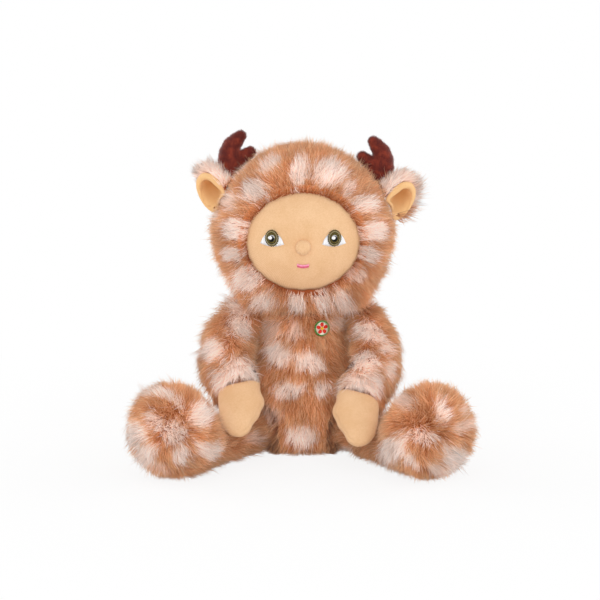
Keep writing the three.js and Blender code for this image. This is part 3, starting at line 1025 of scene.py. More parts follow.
@dataclass
class Print:
    """The pale spots of one fur piece: those that the camera sees, and the rest by chance."""

    tries: ClassVar[int] = 400
    facing: ClassVar[float] = 0.18  # What faces the camera more than this has its spots in `front`.
    under: ClassVar[float] = 3 * MM  # The underside below this height stays plain.
    reach: ClassVar[float] = 14 * MM  # How far a spot reaches through the pile.
    growth: ClassVar[float] = 1.1
    half: ClassVar[tuple[float, float]] = (7, 11)  # Half the height of a chance spot, in pixels.
    ragged: ClassVar[tuple[float, float, float]] = (0.2, 9 * MM, 0.14)  # Of edges, and of strands.
    front: Sequence[Spot]
    spacing: float = 31 * MM
    seed: int = 1

    def marks(self, skin: Skin) -> list[tuple[np.ndarray, np.ndarray, np.ndarray, float]]:
        """Find where the spots lie.

        Args:
            skin: The surface that they lie on.

        Returns:
            For each spot its middle, its three axes, their lengths and its strength.
        """
        found = []
        for spot in self.front:
            ray = PICTURE.ray(spot.across, spot.down)
            place, normal, _, _ = skin.tree.ray_cast(PICTURE.eye(), ray)
            if place is None:
                place, normal, _, _ = skin.tree.find_nearest(
                    PICTURE.eye() + ray * PICTURE.distance
                )
            found.append(self._mark(place, normal, spot))
        rng = np.random.default_rng(self.seed)
        points, normals = skin.scatter(self.tries, rng)
        views = normals @ np.array(PICTURE.back())
        middles = [m[0] for m in found]
        for point, normal, seen in zip(points, normals, views):
            if seen > self.facing or point[2] < self.under:
                continue
            if middles and min(np.linalg.norm(m - point) for m in middles) < self.spacing:
                continue
            high = rng.uniform(*self.half)
            spot = Spot(0, 0, high * rng.uniform(1.1, 1.6), high, rng.uniform(-25, 25))
            found.append(self._mark(Vector(point), Vector(normal), spot, unseen=True))
            middles.append(point)
        return found

    def _mark(self, place: Vector, normal: Vector, spot: Spot, unseen: bool = False
              ) -> tuple[np.ndarray, np.ndarray, np.ndarray, float]:
        """Lay one spot on the surface.

        Args:
            place: Its middle.
            normal: The surface's normal there.
            spot: Its size.
            unseen: Whether it is drawn as its own surface faces, not as the camera sees it.

        Returns:
            Its middle, its three axes, their lengths and its strength.
        """
        slant = math.radians(spot.slant)
        back = normal if unseen else PICTURE.back()
        right = Vector((1, 0, 0)) if abs(back.x) < 0.9 else Vector((0, -1, 0))
        rise = back.cross(right).normalized()
        right = rise.cross(back).normalized()
        long = right * math.cos(slant) - rise * math.sin(slant)
        high = right * math.sin(slant) + rise * math.cos(slant)
        long = long - normal * long.dot(normal)
        high = high - normal * high.dot(normal)
        sizes = np.array([
            self.growth * spot.half_long * PICTURE.pixel / max(long.length, 0.5),
            self.growth * spot.half_high * PICTURE.pixel / max(high.length, 0.5),
            self.reach,
        ])
        axes = np.array([long.normalized(), high.normalized(), normal])
        return np.array(place), axes, sizes, spot.strength

    def tone(self, skin: Skin, points: np.ndarray, rng: np.random.Generator) -> np.ndarray:
        """How pale the pile is at points.

        Args:
            skin: The surface.
            points: Where the tips lie.
            rng: Where chance comes from.

        Returns:
            0 for plain, 1 for pale.
        """
        much, size, each = self.ragged
        ragged = much * ripple(points, size, self.seed) + rng.normal(0, each, len(points))
        tone = np.zeros(len(points))
        for middle, axes, sizes, strength in self.marks(skin):
            shares = ((points - middle) @ axes.T) / sizes
            here = smoothstep(1.16, 0.84, np.linalg.norm(shares, axis=1) + ragged)
            tone = np.maximum(tone, strength * here)
        return tone


@dataclass
class Coat:
    """A fur piece: its backing, and its pile in one or more panels of cloth.

    `comb` gives the way that the pile lies, `refuse` where none grows, `shorten` the share of its
    length and `sink` the share of its depth. Strands stay out of the nodes in `clear_of`.
    """

    clearance: ClassVar[float] = 0.5 * MM
    sway: ClassVar[tuple[float, float]] = (0.25, 15 * MM)  # How much the comb wanders, over what.
    thickness: ClassVar[tuple[float, float]] = (0.7, 1.25)
    tint: ClassVar[tuple[float, float, float]] = (0.3, 0.35, 24 * MM)  # Of strands, of patches.
    node: str
    body: str
    comb: Field
    piles: tuple[Pile, ...] = (Pile(), GUARD)
    slot: str = "fur"
    pattern: Print | None = None
    panels: dict[str, Field | None] = field(default_factory=lambda: {"": None})
    clear_of: tuple[str, ...] = ()
    refuse: Field | None = None
    shorten: Field | None = None
    sink: Field | None = None
    seed: int = 0

    def dress(self) -> None:
        """Grow all the layers of the pile."""
        skin = Skin.of(self.node)
        blockers = [Skin.of(other) for other in self.clear_of]
        for layer, pile in enumerate(self.piles):
            self._grow(pile, skin, blockers, np.random.default_rng(self.seed + 1000 * layer))

    def _grow(self, pile: Pile, skin: Skin, blockers: list[Skin], rng: np.random.Generator) -> None:
        """Grow one layer of the pile.

        Args:
            pile: The layer.
            skin: The node's surface.
            blockers: What the strands stay out of.
            rng: Where chance comes from.
        """
        points, normals = skin.scatter(int(skin.areas().sum() * pile.density), rng)
        if self.refuse:
            keep = ~self.refuse(points, normals).astype(bool)
            points, normals = points[keep], normals[keep]
        curves = self._curves(pile, points, normals, rng)
        keep = np.ones(len(curves), bool)
        for blocker in blockers:
            for step in (1, 2):
                keep &= blocker.nearest(curves[:, step], 3 * MM) > self.clearance
        points, normals, curves = points[keep], normals[keep], curves[keep]
        tone = np.zeros(len(curves))
        if self.pattern:
            tone = self.pattern.tone(skin, 0.5 * curves[:, 1] + 0.5 * curves[:, 2], rng)
        clumped = self._clumped(pile, curves, rng)
        clumped[..., 2] = np.maximum(clumped[..., 2], FLOOR_CLEARANCE)
        if pile.shape is SPIKE:
            clumped = clumped[:, ::2]
        radius = pile.radius * rng.uniform(*self.thickness, len(curves))
        each, patch, size = self.tint
        tint = rng.normal(0, each, len(curves)) + patch * ripple(points, size, 7)
        tint = np.clip(tint, -1, 1)
        for panel, chosen in self.panels.items():
            pick = np.ones(len(points), bool) if chosen is None else chosen(points, normals)
            bundle = pile.shape.along(clumped[pick], radius[pick], normals[pick])
            name = "_".join(filter(None, (self.node, panel, pile.suffix)))
            mesh = bundle.mesh(name, {"tone": tone[pick], "tint": tint[pick]})
            piece = make_piece(name, mesh, pile.finish, self.body, [self.node])
            # Real hairs let light through. Opaque ones would shade each other too much.
            piece.visible_shadow = False

    def _curves(self, pile: Pile, points: np.ndarray, normals: np.ndarray,
                rng: np.random.Generator) -> np.ndarray:
        """Bend each strand from its root to its tip.

        Args:
            pile: The layer.
            points: Places on the node's skin.
            normals: The normals there.
            rng: Where chance comes from.

        Returns:
            Root, middle and tip of each strand.
        """
        size = (len(points), 3)
        comb = self.comb(points, normals)
        length = pile.length * np.clip(1 + rng.normal(0, pile.uneven, (len(points), 1)), 0.5, 1.5)
        if self.shorten:
            length = length * self.shorten(points, normals)[:, None]
        down = np.array([[0.0, 0.0, -1.0]])
        much, over = self.sway
        sway = much * np.stack([ripple(points, over, self.seed + i) for i in range(3)], axis=1)
        start = normals * (1 - pile.lean) + comb * pile.lean + sway * pile.lean
        start = unit(start + rng.normal(0, pile.stray, size))
        end = unit(start + comb * 0.35 + down * pile.droop + rng.normal(0, pile.stray, size))
        depth = np.full((len(points), 1), pile.depth)
        if self.sink:
            depth *= self.sink(points, normals)[:, None]
        roots = points - normals * depth
        middle = roots + start * length * 0.52
        return np.stack([roots, middle, middle + end * length * 0.5], axis=1)

    @staticmethod
    def _clumped(pile: Pile, curves: np.ndarray, rng: np.random.Generator) -> np.ndarray:
        """Draw the tips of neighbouring strands together.

        Args:
            pile: The layer.
            curves: Root, middle and tip of each strand.
            rng: Where chance comes from.

        Returns:
            The same, in clumps.
        """
        leaders = rng.permutation(len(curves))[: max(1, len(curves) // pile.clump_size)]
        tree = KDTree(len(leaders))
        for i, leader in enumerate(leaders):
            tree.insert(curves[leader, 0], i)
        tree.balance()
        own = leaders[[tree.find(root)[1] for root in curves[:, 0]]]
        apart = curves[:, 0] - curves[own, 0]
        pull = pile.clump * rng.uniform(0.3, 1.0, (len(curves), 1))
        result = curves.copy()
        result[:, 1] += pull * 0.35 * (curves[own, 1] + apart * 0.8 - curves[:, 1])
        result[:, 2] += pull * (curves[own, 2] + apart * 0.3 - curves[:, 2])
        return result

    def back(self, voxel: float = 3 * MM, also: Sequence[str] = ()) -> bpy.types.Object:
        """Make the stuffed cloth under the pile.

        Args:
            voxel: The size of its faces.
            also: More nodes that the same cloth covers.

        Returns:
            The piece.
        """
        nodes = [self.node, *also]
        pile = self.piles[0]
        mesh = stuffed(
            f"{self.node}_backing", merged(*nodes), voxel, pile.depth + BACKING_GAP, room=self.sink
        )
        # The backing carries no reach, so it takes the pile's darkest root colour: painted shade
        # under the pile.
        piece = make_piece(mesh.name, mesh, pile.finish, self.body, nodes)
        return piece


def near(distance: float, *nodes: str) -> Field:
    """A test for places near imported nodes.

    Args:
        distance: How near.
        nodes: The nodes.

    Returns:
        The test, which takes points and normals.
    """
    skins = [Skin.of(node) for node in nodes]

    def test(points: np.ndarray, normals: np.ndarray) -> np.ndarray:
        """Whether each point lies near one of the nodes."""
        hits = [np.abs(skin.nearest(points, distance * 1.01)) < distance for skin in skins]
        return np.any(hits, axis=0)

    return test


def heading(angle: float) -> np.ndarray:
    """The direction at an angle, in a plane."""
    return np.array([math.cos(angle), math.sin(angle)])


def centre_of(node: str) -> np.ndarray:
    """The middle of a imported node's box."""
    low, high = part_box(node)
    return np.array((low + high) / 2)


# ---- Sub-assemblies ----


class Side(Enum):
    """The doll's own left and right."""

    LEFT = 1
    RIGHT = -1

    @property
    def word(self) -> str:
        """The side's name, as nodes have it."""
        return self.name.lower()


@dataclass
class Torso:
    """The body: a front and a back panel, and the tail."""

    spots: tuple[Spot, ...] = (
        Spot(266, 331, 11, 9, 20, 0.5), Spot(294, 333, 7, 8, 0, 0.55),
        Spot(342, 323, 9, 6, -20, 0.5), Spot(275, 356, 14, 11, 25), Spot(309, 365, 15, 9, 10),
        Spot(287, 392, 15, 7, -6), Spot(323, 392, 8, 7, 0), Spot(301, 441, 15, 10),
        Spot(271, 418, 9, 8, 20, 0.45),
    )

    def comb(self, points: np.ndarray, normals: np.ndarray) -> np.ndarray:
        """Brush the pile down, and a little away from the middle."""
        way = np.column_stack([points[:, 0] * 9, points[:, 1] * 3, np.full(len(points), -1.0)])
        return along_skin(way, normals, 1e-6)

    def tail_comb(self, points: np.ndarray, normals: np.ndarray) -> np.ndarray:
        """Brush the pile to the tail's tip."""
        way = np.tile([[0.0, 0.8, 0.4]], (len(points), 1))
        return along_skin(way, normals, 1e-6)

    def build(self) -> None:
        """Make the torso and the tail."""
        touching = near(0.4 * MM, "head", "left_arm", "right_arm", "left_leg", "right_leg", "tail")
        body = Coat(
            "torso", "torso", self.comb, seed=11,
            pattern=Print(self.spots, seed=12),
            panels={
                "front": lambda points, normals: points[:, 1] < 0,
                "back": lambda points, normals: points[:, 1] >= 0,
            },
            clear_of=("chest_badge", "head", "left_hand", "right_hand"),
            refuse=touching,
        )
        body.back()
        body.dress()
        tail = Coat(
            "tail", "torso", self.tail_comb, seed=15,
            piles=(
                Pile(length=8 * MM, depth=5 * MM), replace(GUARD, length=9.5 * MM, depth=5 * MM),
            ),
            pattern=Print((), spacing=40 * MM, seed=16),
            refuse=near(0.9 * MM, "torso"),
        )
        tail.back(2 * MM)
        tail.dress()


@dataclass
class Hood:
    """The hood, its three panels and its rolled facing.

    `face` is the middle of the face's opening and `opening` its half width and half height. Over
    `bevel` the pile rises from there to its full height.
    """

    spots: tuple[Spot, ...] = (
        Spot(251, 188, 12, 11, -20), Spot(269, 161, 12, 6, -40, 0.85), Spot(299, 167, 8, 14, 12),
        Spot(331, 169, 16, 12, 10), Spot(351, 185, 5, 9, 15, 0.75), Spot(370, 202, 13, 8, 8),
        Spot(380, 231, 12, 10), Spot(371, 256, 10, 8), Spot(360, 278, 9, 6, -30, 0.6),
        Spot(230, 229, 10, 10), Spot(229, 257, 9, 7), Spot(227, 200, 7, 9, 20, 0.7),
        Spot(243, 282, 13, 10, 20), Spot(261, 304, 12, 7, 15), Spot(296, 305, 8, 11, 0),
        Spot(324, 304, 8, 11, 0), Spot(346, 307, 9, 7, 0, 0.9), Spot(214, 213, 4, 7, 0, 0.8),
    )
    face: tuple[float, float, float] = (0.0, -56 * MM, 165.7 * MM)
    opening: tuple[float, float] = (44.2 * MM, 39.0 * MM)
    bevel: float = 12 * MM
    depth: float = 5.3 * MM
    front: float = -10 * MM  # The pile slopes only in front of this.
    collar: tuple[float, float] = (130 * MM, 118 * MM)  # It grows longer between these heights.
    panel: float = 24 * MM  # Half the width of the crown's panel.
    edge_gap: float = 1.2 * MM  # From the head to the roots, at the face's edge.
    cloth_gap: float = 0.9 * MM  # From the head to the cloth there.
    least_gap: float = 0.6 * MM

    def from_face(self, points: np.ndarray) -> np.ndarray:
        """The way from the face's middle, in the plane of the face.

        Args:
            points: Places on the hood.

        Returns:
            Unit vectors.
        """
        way = points - np.array(self.face)
        way[:, 1] = 0
        return unit(way + TINY)

    def in_opening(self, points: np.ndarray, normals: np.ndarray) -> np.ndarray:
        """Whether places are on the wall round the face."""
        inward = -np.sum(normals * self.from_face(points), axis=1)
        return (inward > 0.35) & (points[:, 1] < -20 * MM)

    def comb(self, points: np.ndarray, normals: np.ndarray) -> np.ndarray:
        """Brush the pile away from the face, over the crown and down behind.

        Args:
            points: Places on the skin.
            normals: The normals there.

        Returns:
            Unit vectors along the skin.
        """
        radial = along_skin(points - np.array(self.face), normals)
        behind = smoothstep(-10 * MM, 40 * MM, points[:, 1])[:, None]
        down = np.array([[0.0, 0.0, -1.0]])
        return along_skin(radial + down * (0.15 + 1.2 * behind), normals)

    def rise(self, points: np.ndarray) -> np.ndarray:
        """How far the pile has risen from the edge of the face to its full height.

        Args:
            points: Places on the hood.

        Returns:
            0 at the edge to 1 at full height.
        """
        flat = (points - np.array(self.face))[:, [0, 2]] / np.array(self.opening)
        away = (np.linalg.norm(flat, axis=1) - 1) * self.opening[0]
        return np.where(points[:, 1] < self.front, smoothstep(-1 * MM, self.bevel, away), 1.0)

    def sink(self, points: np.ndarray, normals: np.ndarray) -> np.ndarray:
        """How deep roots lie, against the usual: the pile slopes down to the face's edge.

        Args:
            points: Places on the skin.
            normals: Not used.

        Returns:
            Shares of the pile's depth.
        """
        gap = Skin.of("head").nearest(points, 25 * MM)
        rise = self.rise(points)
        return rise + (1 - rise) * np.maximum(gap - self.edge_gap, 0) / self.depth

    def back(self) -> None:
        """Make the hood's cloth, which stands off the head and slopes down to the face."""
        mesh = stuffed("hood_backing", merged("hood"), voxel=2.4 * MM, inset=0.0, rounds=2)
        head = Skin.of("head").tree
        model = bmesh.new()
        model.from_mesh(mesh)
        bpy.data.meshes.remove(mesh)
        for vert, rise in zip(model.verts, self.rise(places_of(model.verts))):
            place, _, _, gap = head.find_nearest(vert.co)
            height = rise * (gap - self.depth - BACKING_GAP) + (1 - rise) * self.cloth_gap
            height = min(gap, max(height, self.least_gap))
            vert.co = place + (vert.co - place).normalized() * height
        for _ in range(3):
            relax(model)
        mesh = to_mesh(model, "hood_backing")
        # The backing carries no reach, so it takes the pile's darkest root colour: painted shade
        # under the pile.
        make_piece(mesh.name, mesh, UNDERFUR, "head", ["hood"])

    def shorten(self, points: np.ndarray, normals: np.ndarray) -> np.ndarray:
        """The pile is shorter at the face, and long at the collar.

        Args:
            points: Places on the skin.
            normals: Not used.

        Returns:
            Shares of the pile's length.
        """
        spread = np.linalg.norm((points - np.array(self.face))[:, [0, 2]], axis=1)
        front = points[:, 1] < -15 * MM
        share = np.where(front, 0.68 + 0.32 * smoothstep(42 * MM, 60 * MM, spread), 1.0)
        return share * (1 + 0.4 * smoothstep(*self.collar, points[:, 2]))

    def build(self) -> None:
        """Make the hood and its facing."""
        covered = near(0.8 * MM, "head", "hood_facing", "left_ear", "right_ear")
        coat = Coat(
            "hood", "head", self.comb, seed=21,
            piles=(Pile(depth=self.depth), replace(GUARD, depth=self.depth)),
            pattern=Print(self.spots, seed=22),
            panels={
                "crown": lambda points, normals: np.abs(points[:, 0]) < self.panel,
                "left": lambda points, normals: points[:, 0] >= self.panel,
                "right": lambda points, normals: points[:, 0] <= -self.panel,
            },
            clear_of=("head", "left_ear_lining", "right_ear_lining", "left_antler", "right_antler"),
            refuse=lambda points, normals: (
                covered(points, normals) | self.in_opening(points, normals)
            ),
            shorten=self.shorten, sink=self.sink,
        )
        coat.dress()
        self.back()
        facing = Coat(
            "hood_facing", "head", self.facing_comb, seed=25, slot="facing_pile",
            piles=(Pile(
                length=3.4 * MM, radius=0.2 * MM, depth=1.3 * MM, density=2.8 / MM**2, lean=0.3,
                droop=0.05, stray=0.35, clump=0.35, clump_size=10, finish=FACING,
            ),),
            clear_of=("head",),
        )
        facing.back(0.9 * MM)
        facing.dress()

    def facing_comb(self, points: np.ndarray, normals: np.ndarray) -> np.ndarray:
        """Brush the facing's short pile outwards and forwards."""
        return along_skin(self.from_face(points) + np.array([[0, -0.4, 0]]), normals)


def sewn(starts: np.ndarray, ends: np.ndarray) -> tuple[np.ndarray, np.ndarray]:
    """Cut straight stitches into the steps that a thread has.

    Args:
        starts: Where stitches start, in x and z.
        ends: Where they end.

    Returns:
        Places with the shape (stitch, step, 2), and how high the thread arches at each step.
    """
    along = np.linspace(0, 1, len(THREAD.widths))
    flat = starts[:, None] + (ends - starts)[:, None] * along[None, :, None]
    return flat, np.sin(along * math.pi)


@dataclass
class Needlework:
    """Stitches that lie on the face, which is the front of the head's ball.

    `middle` is the ball's middle and `half` its half width, depth and height.
    """

    middle: tuple[float, float, float]
    half: tuple[float, float, float]

    def on_face(self, flat: np.ndarray, lift: np.ndarray | float) -> np.ndarray:
        """Lay places in x and z on the front of the head.

        Args:
            flat: Rows of x and z.
            lift: How far above the cloth they are.

        Returns:
            Places in space.
        """
        middle, half = np.array(self.middle), np.array(self.half)
        x, z = (flat[..., 0] - middle[0]) / half[0], (flat[..., 1] - middle[2]) / half[2]
        y = -np.sqrt(np.maximum(1 - x * x - z * z, 0.01))
        ball = np.stack([x, y, z], axis=-1)
        out = ball / half
        out /= np.linalg.norm(out, axis=-1, keepdims=True)
        return middle + ball * half + out * np.asarray(lift)[..., None]

    def stitches(self, name: str, starts: np.ndarray, ends: np.ndarray, lift: np.ndarray | float,
                 radius: float, hue: np.ndarray, finish: Finish, nodes: Sequence[str],
                 seed: int) -> bpy.types.Object:
        """Sew a piece of straight stitches.

        Args:
            name: The piece's name.
            starts: Where stitches start, in x and z.
            ends: Where they end.
            lift: How far above the cloth their middles are.
            radius: The thread's radius.
            hue: The place of each stitch's colour, from 0 to 1.
            finish: The thread.
            nodes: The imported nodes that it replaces.
            seed: Picks the threads' small differences.

        Returns:
            The piece.
        """
        rng = np.random.default_rng(seed)
        count = len(starts)
        flat, arch = sewn(starts, ends)
        heights = np.broadcast_to(np.asarray(lift), (count,))[:, None]
        curves = self.on_face(flat, (heights - radius) + radius * 1.3 * arch[None] ** 0.5)
        bundle = THREAD.along(curves, np.full(count, radius) * rng.uniform(0.9, 1.1, count))
        tint = np.clip(rng.normal(0, 0.35, count), -1, 1)
        mesh = bundle.mesh(name, {"hue": hue, "tint": tint})
        return make_piece(name, mesh, finish, "head", nodes)


@dataclass
class Head:
    """The cotton head with its nose and needlework.

    `half` has the head's half width, depth and height. The needlework's heights are measured from
    the head's middle.
    """

    half: tuple[float, float, float] = (58 * MM, 54 * MM, 53 * MM)
    neck: float = 16 * MM
    eye_across: float = 22.7 * MM
    eye_height: float = 2.2 * MM
    iris: tuple[float, float] = (5.3 * MM, 6.4 * MM)
    pupil: float = 2.0 * MM
    glint: float = 1.3 * MM
    white_half: float = 8.6 * MM
    white_corner: float = -4.4 * MM
    white_step: float = 0.4 * MM
    mouth_height: float = -18.2 * MM
    mouth_half: float = 4.3 * MM
    satin_step: float = 0.36 * MM

    def middle(self) -> tuple[float, float, float]:
        """The middle of the head, measured down from its top."""
        low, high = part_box("head")
        return (0.0, (low.y + high.y) / 2, high.z - self.half[2])

    def build(self) -> None:
        """Make the head, the nose and the stitches."""
        middle = self.middle()
        model = bmesh.new()
        bmesh.ops.create_uvsphere(
            model, u_segments=96, v_segments=64, radius=1,
            matrix=Matrix.Translation(middle) @ Matrix.Diagonal((*self.half, 1)),
        )
        low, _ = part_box("head")
        top = middle[2] - self.half[2] * 0.8
        bmesh.ops.create_cone(
            model, cap_ends=True, segments=48, radius1=self.neck, radius2=self.neck,
            depth=top - low.z, matrix=Matrix.Translation((middle[0], middle[1], (top + low.z) / 2)),
        )
        mesh = to_mesh(model, "head_cloth")
        make_piece(mesh.name, mesh, COTTON, "head", ["head"])
        self.build_nose()
        needle = Needlework(middle, self.half)
        for side in Side:
            self.build_eye(needle, side)
        self.build_mouth(needle)

    def build_nose(self) -> None:
        """Make the small stuffed nose, a ball a little flattened front to back."""
        low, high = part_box("nose")
        model = bmesh.new()
        radius = 1.05 * (high.x - low.x) / 2
        middle = Vector(((low.x + high.x) / 2, low.y + 0.6 * radius, (low.z + high.z) / 2))
        bmesh.ops.create_uvsphere(
            model, u_segments=40, v_segments=28, radius=1,
            matrix=Matrix.Translation(middle) @ Matrix.Diagonal((radius, radius * 0.9, radius, 1)),
        )
        mesh = to_mesh(model, "nose_ball")
        make_piece(mesh.name, mesh, COTTON, "head", ["nose"])

    def build_eye(self, needle: Needlework, side: Side) -> None:
        """Sew the white and the iris of one eye.

        Args:
            needle: What sews on the face.
            side: The doll's own left or right.
        """
        centre = np.array([side.value * self.eye_across, needle.middle[2] + self.eye_height])
        self.sew_white(needle, side, centre)
        self.sew_iris(needle, side, centre)

    def sew_white(self, needle: Needlework, side: Side, centre: np.ndarray) -> None:
        """Fill the white, a low tent with a curved floor, with upright satin stitches.

        Args:
            needle: What sews on the face.
            side: The doll's own left or right.
            centre: The eye's middle, in x and z.
        """
        across = np.arange(-self.white_half, self.white_half + self.white_step / 2, self.white_step)
        share = across / self.white_half
        top = self.white_corner + 7.4 * MM * (1 - np.abs(share) ** 4.2)
        floor = self.white_corner - 1.9 * MM * (1 - share**2)
        starts = centre + np.column_stack([across, floor])
        ends = centre + np.column_stack([across, np.maximum(top, floor + 0.5 * MM)])
        needle.stitches(
            f"{side.word}_eye_white_stitches", starts, ends, 0.6 * MM, 0.26 * MM,
            np.full(len(across), 0.7), WHITE, [f"{side.word}_eye_white"], 31,
        )

    def sew_iris(self, needle: Needlework, side: Side, centre: np.ndarray) -> None:
        """Sew rings of stitches, a dark pupil and a small white light.

        Args:
            needle: What sews on the face.
            side: The doll's own left or right.
            centre: The eye's middle, in x and z.
        """
        starts, ends, lifts, hues = [], [], [], []

        def ring(inner: float, outer: float, count: int, hue: float, lift: float) -> None:
            """Sew one ring of stitches that lie like spokes, a little askew.

            Args:
                inner: Where they start, as a share of the iris.
                outer: Where they end.
                count: How many there are.
                hue: The place of their colour.
                lift: How far above the cloth they are.
            """
            skew = 2.2 / count
            for step in range(count):
                for share, away, to in ((inner, -skew, starts), (outer, skew, ends)):
                    way = heading(step / count * FULL_TURN + away)
                    to.append(centre + share * np.array(self.iris) * way)
                lifts.append(lift)
                hues.append(hue)

        def edging(share: float, count: int, hue: float, lift: float) -> None:
            """Sew a fine line of stitches end to end.

            Args:
                share: The line's size, as a share of the iris.
                count: How many stitches there are.
                hue: The place of their colour.
                lift: How far above the cloth they are.
            """
            for step in range(count):
                for away, to in ((0, starts), (1, ends)):
                    way = heading((step + away) / count * FULL_TURN)
                    to.append(centre + share * np.array(self.iris) * way)
                lifts.append(lift)
                hues.append(hue)

        ring(0.8, 0.98, 27, 0.24, 1.15 * MM)
        ring(0.66, 0.93, 48, 0.56, 1.25 * MM)
        ring(0.38, 0.68, 40, 0.38, 1.3 * MM)
        edging(0.86, 26, 0.3, 1.55 * MM)
        edging(0.76, 24, 0.74, 1.6 * MM)
        edging(0.63, 22, 0.24, 1.6 * MM)
        edging(0.52, 18, 0.56, 1.6 * MM)
        for spot, half, hue, lift in (
            (centre + np.array([-0.1, -0.4]) * MM, self.pupil, 0.1, 1.65 * MM),
            (centre + np.array([-0.9, 0.32]) * MM, self.glint, 0.9, 2.05 * MM),
        ):
            for across in np.arange(-half, half + 0.01 * MM, self.satin_step):
                high = math.sqrt(max(half**2 - across**2, (0.4 * MM) ** 2)) * 1.1
                starts.append(spot + np.array([across, -high]))
                ends.append(spot + np.array([across, high]))
                lifts.append(lift)
                hues.append(hue)
        needle.stitches(
            f"{side.word}_iris_stitches", np.array(starts), np.array(ends), np.array(lifts),
            0.24 * MM, np.array(hues), OLIVE, [f"{side.word}_iris"], 33,
        )

    def build_mouth(self, needle: Needlework) -> None:
        """Sew the mouth in two rows of short stitches.

        Args:
            needle: What sews on the face.
        """
        across = np.arange(-self.mouth_half, self.mouth_half + 0.01 * MM, self.satin_step)
        bend = 0.9 * MM * (across / self.mouth_half) ** 2 - 0.5 * MM
        base = needle.middle[2] + self.mouth_height + bend
        starts, ends, hues = [], [], []
        for low, high, hue in ((-1.35, 0.1, 0.25), (0.0, 1.3, 0.75)):
            starts.append(np.column_stack([across, base + low * MM]))
            ends.append(np.column_stack([across + 0.15 * MM, base + high * MM]))
            hues.append(np.full(len(across), hue))
        needle.stitches(
            "mouth_stitches", np.concatenate(starts), np.concatenate(ends), 0.75 * MM, 0.25 * MM,
            np.concatenate(hues), PINK, ["mouth"], 35,
        )


@dataclass
class Badge:
    """A small round embroidered patch: a five-petalled flower inside a corded edge.

    Sizes that are shares are of the patch's radius.
    """

    petals: int = 5
    thread: float = 0.24 * MM
    sunk: float = 0.3 * MM  # How deep the threads' ends lie, and how high they arch.
    cord_stitches: int = 46

    def satin(self, radius: float, middle: np.ndarray, half: tuple[float, float], turn: float,
              step: float, hue: float, lift: float, reach: float) -> list[tuple]:
        """Fill an ellipse with parallel stitches.

        Args:
            radius: The patch's radius.
            middle: The ellipse's middle.
            half: The ellipse's half sizes along and across the stitches, as shares.
            turn: The angle at which stitches lie.
            step: The way from stitch to stitch.
            hue: The place of their colour.
            lift: How far above the cloth they are.
            reach: How far out to look for the ellipse's edge.

        Returns:
            For each stitch its start, its end, its lift and the place of its colour.
        """
        way = heading(turn)
        over = np.array([-way[1], way[0]])
        rows = []
        for across in np.arange(-reach, reach, step):
            steps = [
                t for t in np.linspace(-reach, reach, 60)
                if (t / (radius * half[0])) ** 2 + (across / (radius * half[1])) ** 2 < 1
            ]
            if len(steps) > 3:
                line = middle + over * across
                rows.append((line + way * steps[0], line + way * steps[-1], lift, hue))
        return rows

    def cord(self, radius: float) -> list[tuple]:
        """Bind the patch's edge with slanting stitches.

        Args:
            radius: The patch's radius.

        Returns:
            For each stitch its start, its end, its lift and the place of its colour.
        """
        rows = []
        for step in range(self.cord_stitches):
            angle = step / self.cord_stitches * FULL_TURN
            inner, outer = (radius * share * heading(angle + share) for share in (0.8, 1.0))
            rows.append((inner, outer, 0.8 * MM, 0.125))
        return rows

    def build(self) -> None:
        """Sew the patch on the chest."""
        low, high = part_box("chest_badge")
        tree = Skin.of("chest_badge").tree
        ahead = Vector((0, -1, 0))
        middle = (low + high) / 2
        radius = (high.x - low.x) / 2
        origin = np.zeros(2)
        rows = self.satin(
            radius, origin, (0.84, 0.84), 0.0, 0.42 * MM, hue=0.375, lift=0.35 * MM, reach=radius
        )
        for petal in range(self.petals):
            angle = math.pi / 2 + petal * FULL_TURN / self.petals
            rows += self.satin(
                radius, heading(angle) * radius * 0.46, (0.3, 0.22), angle, 0.36 * MM,
                hue=0.875, lift=0.75 * MM, reach=radius * 0.34,
            )
        rows += self.satin(
            radius, origin, (0.19, 0.19), 0.6, 0.34 * MM, hue=0.625, lift=1.1 * MM,
            reach=radius * 0.2,
        )
        rows += self.cord(radius)
        starts, ends, lifts, hues = (np.array(column) for column in zip(*rows))
        flat, arch = sewn(starts, ends)
        curves = np.empty((*flat.shape[:2], 3))
        for stitch, step in np.ndindex(flat.shape[:2]):
            across, up = flat[stitch, step]
            at = Vector((middle.x + across, low.y - 20 * MM, middle.z + up))
            hit, _, _, _ = tree.ray_cast(at, -ahead)
            if hit is None:
                hit, _, _, _ = tree.find_nearest(Vector((at.x, low.y, at.z)))
            rise = lifts[stitch] - self.sunk + self.sunk * arch[step]
            curves[stitch, step] = hit + ahead * rise
        bundle = THREAD.along(curves, np.full(len(curves), self.thread))
        tint = np.clip(np.random.default_rng(41).normal(0, 0.3, len(hues)), -1, 1)
        mesh = bundle.mesh("badge_stitches", {"hue": hues, "tint": tint})
        make_piece("badge_stitches", mesh, PATCH, "torso", ["chest_badge"])
        model = merged("chest_badge")
        bmesh.ops.scale(
            model, vec=(0.97, 1.0, 0.97), verts=model.verts, space=Matrix.Translation(-middle)
        )
        mesh = to_mesh(model, "badge_cloth")
        make_piece("badge_cloth", mesh, COTTON, "torso", ["chest_badge"])


